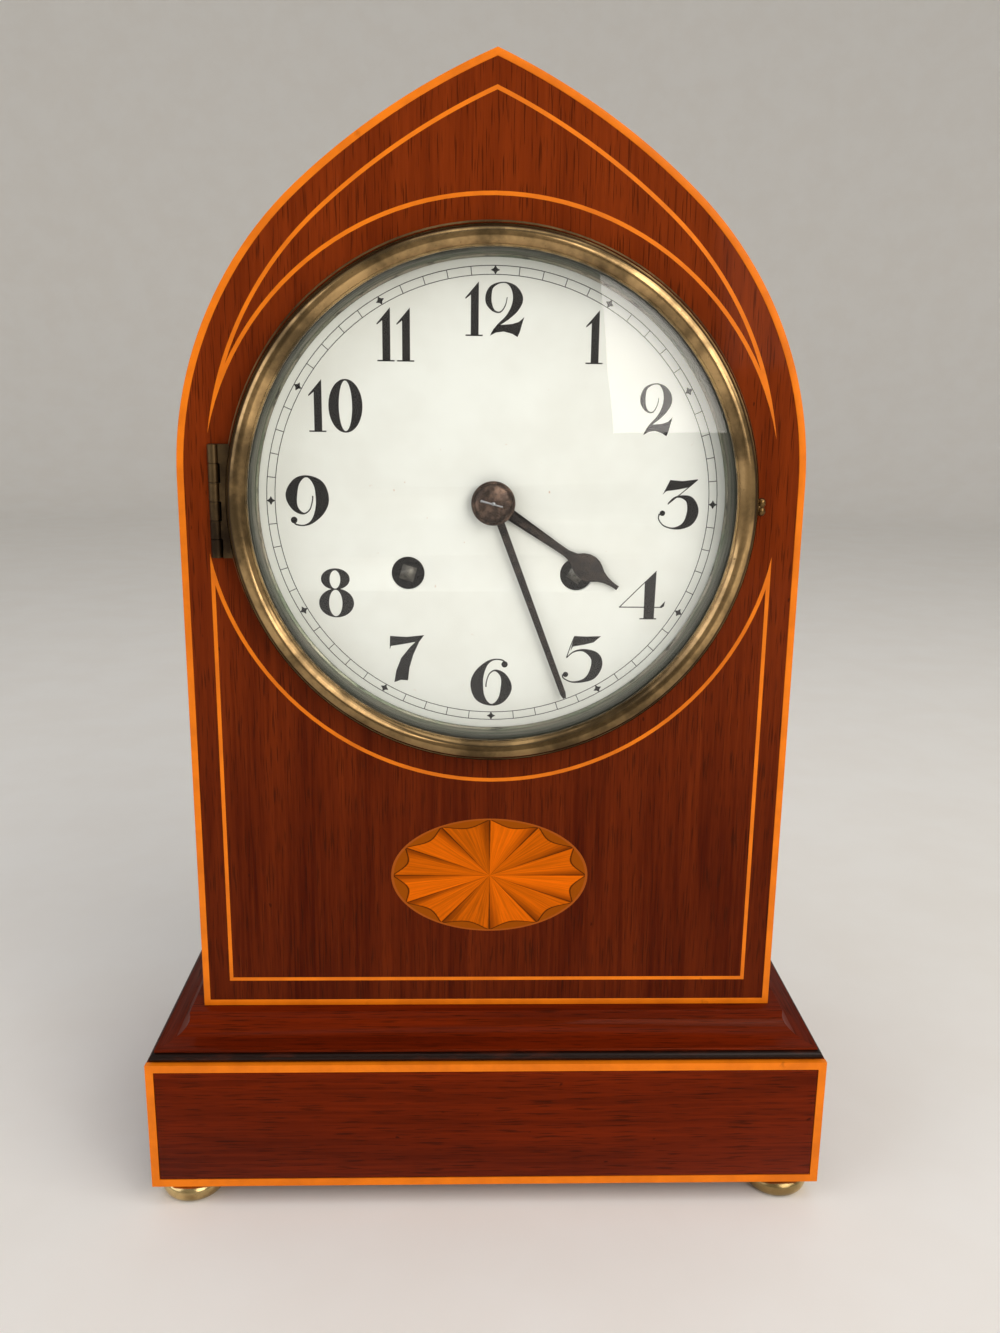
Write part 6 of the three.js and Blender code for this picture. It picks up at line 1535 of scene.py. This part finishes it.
def gong_coil():
    """The gong: a flat spiral of round wire, with its inner end bent down into the stand."""
    outer = GONG_INNER + GONG_PITCH * GONG_LOOPS
    values = {
        "Loops": GONG_LOOPS, "Steps": GONG_STEPS, "Inner radius": GONG_INNER, "Pitch": GONG_PITCH,
        "Wire": GONG_WIRE, "Steel": coat_named("gong steel"),
        "Place": (GONG_HIGH.x - outer - GONG_WIRE, (GONG_LOW.y + GONG_HIGH.y) / 2, GONG_Z)}
    tree, given = geometry_tree("gong coil", values)
    steps = add(tree, MATH, {0: given["Loops"], 1: given["Steps"]}, operation="MULTIPLY")
    count = add(tree, MATH, {0: steps, 1: 2.0}, operation="ADD")
    path = add(tree, "GeometryNodeMeshLine", {"Count": count}, mode="OFFSET")
    # The first point is the bent end, so the spiral starts at the second.
    index = add(tree, "GeometryNodeInputIndex")
    before = add(tree, MATH, {0: index, 1: 1.0}, operation="SUBTRACT")
    along = add(tree, MATH, {0: before, 1: 0.0}, operation="MAXIMUM")
    turns = add(tree, MATH, {0: along, 1: given["Steps"]}, operation="DIVIDE")
    radius = add(tree, MATH, {
        0: turns, 1: given["Pitch"], 2: given["Inner radius"]}, operation="MULTIPLY_ADD")
    angle = add(tree, MATH, {0: turns, 1: 2 * math.pi}, operation="MULTIPLY")
    first = add(tree, MATH, {0: index, 1: 0.5}, operation="LESS_THAN")
    stub = add(tree, MATH, {0: first, 1: given["Wire"]}, operation="MULTIPLY")
    sine = add(tree, MATH, {0: angle}, operation="SINE")
    cosine = add(tree, MATH, {0: angle}, operation="COSINE")
    x = add(tree, MATH, {0: radius, 1: cosine}, operation="MULTIPLY")
    level = add(tree, MATH, {0: radius, 1: sine}, operation="MULTIPLY")
    z = add(tree, MATH, {0: stub, 1: -2.0, 2: level}, operation="MULTIPLY_ADD")
    coiled = add(tree, "ShaderNodeCombineXYZ", {"X": x, "Z": z})
    spot = add(tree, "ShaderNodeVectorMath", {0: coiled, 1: given["Place"]}, operation="ADD")
    laid = add(tree, "GeometryNodeSetPosition", {"Geometry": path, "Position": spot})
    line = add(tree, "GeometryNodeMeshToCurve", {"Mesh": laid})
    section = add(tree, "GeometryNodeCurvePrimitiveCircle", {
        "Resolution": GONG_SIDES, "Radius": given["Wire"]})
    wire = add(tree, "GeometryNodeCurveToMesh", {"Curve": line, "Profile Curve": section, "Fill Caps": True})
    realised(tree, wire, given["Steel"])
    return grown(tree, values)


def wound_arbor(node, teeth):
    """A winding arbor as the key left it: its square is some teeth of its ratchet further round."""
    low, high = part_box(node)
    shape = bmesh.new()
    shape.from_mesh(frame["nodes"][node].data)
    bmesh.ops.remove_doubles(shape, verts=shape.verts, dist=SAME_LOOSE)
    bmesh.ops.rotate(shape, verts=shape.verts, cent=(low + high) / 2,
                     matrix=Matrix.Rotation(teeth * 2 * math.pi / RATCHET_TEETH, 3, "Y"))
    return shape


class CLOCK_OT_movement(bpy.types.Operator):
    """Finishes the movement, its pendulum and the coiled gong"""
    bl_idname = "clock.movement"
    bl_label = "Movement"

    def execute(self, context):
        dress("movement brass", "front_plate", "back_plate", "going_barrel", "strike_barrel",
              "going_second_wheel", "strike_second_wheel", "centre_wheel", "third_wheel", "escape_wheel",
              "pin_wheel", "warning_wheel", "fly", "minute_wheel", "hour_wheel", "suspension_cock",
              "pendulum_bob", "rating_nut")
        dress("brass", "strap_left", "strap_right")
        for train, teeth in (("going", 2), ("strike", 1)):
            node = train + "_winding_arbor"
            # Each arbor's finish paints shade on it behind the dial.
            arbor = wound_arbor(node, teeth)
            piece(train + "_arbor_oiled", arbor, "winding steel", train + "_arbor", [node])
        dress("steel", "going_click", "strike_click", "anchor", "cannon_pinion", "suspension_spring",
              "pendulum_rod", "hammer")
        dress("iron", "gong_stand")
        settle("gong_coil", gong_coil(), "gong steel", "clock_case", ["gong"])
        return {"FINISHED"}


# Stage

CAMERA_PLACE = Vector((-7.094, -368.349, 241.718)) * MM
CAMERA_PITCH = 0.229
CAMERA_YAW = 0.030
CAMERA_ROLL = 0.012
CAMERA_LENS = 30.339
SENSOR_WIDTH = 36
CLIP_START = 0.01
# Each lamp's place and its width and height in metres, its power in watts and its colour
LAMPS = {
    "window": ((0.62, -1.2, 0.72), (0.7, 0.9), 6.9, "#fff9f2"),
    "key": ((1.15, -0.8, 1.15), (1.0, 1.0), 8.1, "#fffbf6"),
    "left_fill": ((-1.2, -0.7, 0.75), (1.0, 1.0), 4.7, "#f2f4ff"),
    "overhead": ((0.1, -0.15, 1.5), (1.2, 1.0), 4.3, "#ffffff"),
}
LAMP_TARGET = Vector((0, 0, 0.17))
WORLD_STRENGTH = 0.4
# The floor's inner ring and flat part, the sweep of its edge and the top of the backdrop, in metres
FLOOR_INNER = 0.6
FLOOR_FLAT = 2.2
FLOOR_BEND = 0.6
FLOOR_TOP = 2.6
FLOOR_STEPS = 12


def pale_ground():
    """Matt pale card: even and soft, so that only shadows show on it."""
    made, tree, where = new_finish("pale card")
    mottle = patches(tree, where, (60, 60, 60), 0.3, 0.7)
    return surface(made, {
        "Base Color": add(tree, MIX, {0: mottle, 6: linear("#f2efea"), 7: linear("#f4f2ee")}, **RGB),
        "Roughness": 0.85})


class CLOCK_OT_stage(bpy.types.Operator):
    """Lays the pale floor and backdrop, and sets the lights and the camera"""
    bl_idname = "clock.stage"
    bl_label = "Stage"

    def execute(self, context):
        scene = context.scene
        scene.view_settings.view_transform = "Standard"
        floor()
        for name, details in LAMPS.items():
            lamp(name, *details)
        world()
        scene.camera = camera()
        return {"FINISHED"}


def floor():
    """A round floor that sweeps up into a backdrop on every side."""
    sweep = [(FLOOR_FLAT + r, FLOOR_BEND + z) for r, z in arc(FLOOR_BEND, -90, 0, FLOOR_STEPS)]
    line = [(0.0, 0.0), (FLOOR_INNER, 0.0), *sweep, (FLOOR_FLAT + FLOOR_BEND, FLOOR_TOP)]
    shape = bmesh.new()
    for radius, z in line:
        shape.verts.new((radius, 0, z))
    shape.verts.ensure_lookup_table()
    edges = [shape.edges.new(pair) for pair in zip(shape.verts[:], shape.verts[1:])]
    bmesh.ops.spin(shape, geom=shape.verts[:] + edges, cent=(0, 0, 0), axis=(0, 0, 1), angle=2 * math.pi,
                   steps=DRUM, use_merge=True)
    bmesh.ops.remove_doubles(shape, verts=shape.verts, dist=MM)
    bmesh.ops.recalc_face_normals(shape, faces=shape.faces)
    mesh = bpy.data.meshes.new("floor")
    shape.to_mesh(mesh)
    shape.free()
    mesh.shade_smooth()
    mesh.materials.append(pale_ground())
    made = bpy.data.objects.new("floor", mesh)
    bpy.context.scene.collection.objects.link(made)


def lamp(name, place, size, power, code):
    """A soft rectangular lamp that faces the clock."""
    light = bpy.data.lights.new(name, "AREA")
    light.shape = "RECTANGLE"
    light.size, light.size_y = size
    light.energy = power
    light.color = linear(code)[:3]
    made = bpy.data.objects.new(name, light)
    made.location = place
    made.rotation_euler = (LAMP_TARGET - Vector(place)).to_track_quat("-Z", "Y").to_euler()
    bpy.context.scene.collection.objects.link(made)


def world():
    """An even pale surround."""
    made = bpy.data.worlds.new("pale room")
    made.use_nodes = True
    tree = made.node_tree
    tree.nodes.clear()
    light = add(tree, "ShaderNodeBackground", {"Color": linear("#f2f1ef"), "Strength": WORLD_STRENGTH})
    add(tree, "ShaderNodeOutputWorld", {"Surface": light})
    bpy.context.scene.world = made


def camera():
    """The viewing angle of a visitor in front of the clock."""
    out = math.cos(CAMERA_PITCH)
    ahead = Vector((math.sin(CAMERA_YAW) * out, math.cos(CAMERA_YAW) * out, -math.sin(CAMERA_PITCH)))
    level = Vector((math.cos(CAMERA_YAW), -math.sin(CAMERA_YAW), 0))
    above = level.cross(ahead)
    right = math.cos(CAMERA_ROLL) * level + math.sin(CAMERA_ROLL) * above
    up = math.cos(CAMERA_ROLL) * above - math.sin(CAMERA_ROLL) * level
    lens = bpy.data.cameras.new("camera")
    lens.sensor_width = SENSOR_WIDTH
    lens.lens = CAMERA_LENS
    lens.clip_start = CLIP_START
    made = bpy.data.objects.new("camera", lens)
    turn = Matrix((right, up, -ahead)).transposed().to_4x4()
    made.matrix_world = Matrix.Translation(CAMERA_PLACE) @ turn
    bpy.context.scene.collection.objects.link(made)
    return made


# Panel and running

STEPS = (CLOCK_OT_case, CLOCK_OT_inlay, CLOCK_OT_feet, CLOCK_OT_dial, CLOCK_OT_bezel, CLOCK_OT_hands,
         CLOCK_OT_back, CLOCK_OT_movement, CLOCK_OT_stage)


class CLOCK_PT_panel(bpy.types.Panel):
    """Lists the steps, sizes and colours of the clock"""
    bl_label = "Lancet Mantel Clock"
    bl_idname = "CLOCK_PT_panel"
    bl_space_type = "VIEW_3D"
    bl_region_type = "UI"
    bl_category = "Clock"

    def draw(self, context):
        for step in STEPS:
            self.layout.operator(step.bl_idname)
        for group in (context.scene.clock_sizes, context.scene.clock_colours):
            box = self.layout.box()
            for name in group.__annotations__:
                box.prop(group, name)


CLASSES = (ClockSizes, ClockColours, *STEPS, CLOCK_PT_panel)


def register():
    """Makes the steps, sizes, colours and panel known to Blender."""
    for kind in CLASSES:
        bpy.utils.register_class(kind)
    bpy.types.Scene.clock_sizes = bpy.props.PointerProperty(type=ClockSizes)
    bpy.types.Scene.clock_colours = bpy.props.PointerProperty(type=ClockColours)


def unregister():
    """Takes away what register added."""
    del bpy.types.Scene.clock_colours
    del bpy.types.Scene.clock_sizes
    for kind in reversed(CLASSES):
        bpy.utils.unregister_class(kind)


def main():
    """Runs each step."""
    register()
    for step in STEPS:
        group, name = step.bl_idname.split(".")
        getattr(getattr(bpy.ops, group), name)()


if __name__ == "__main__":
    main()
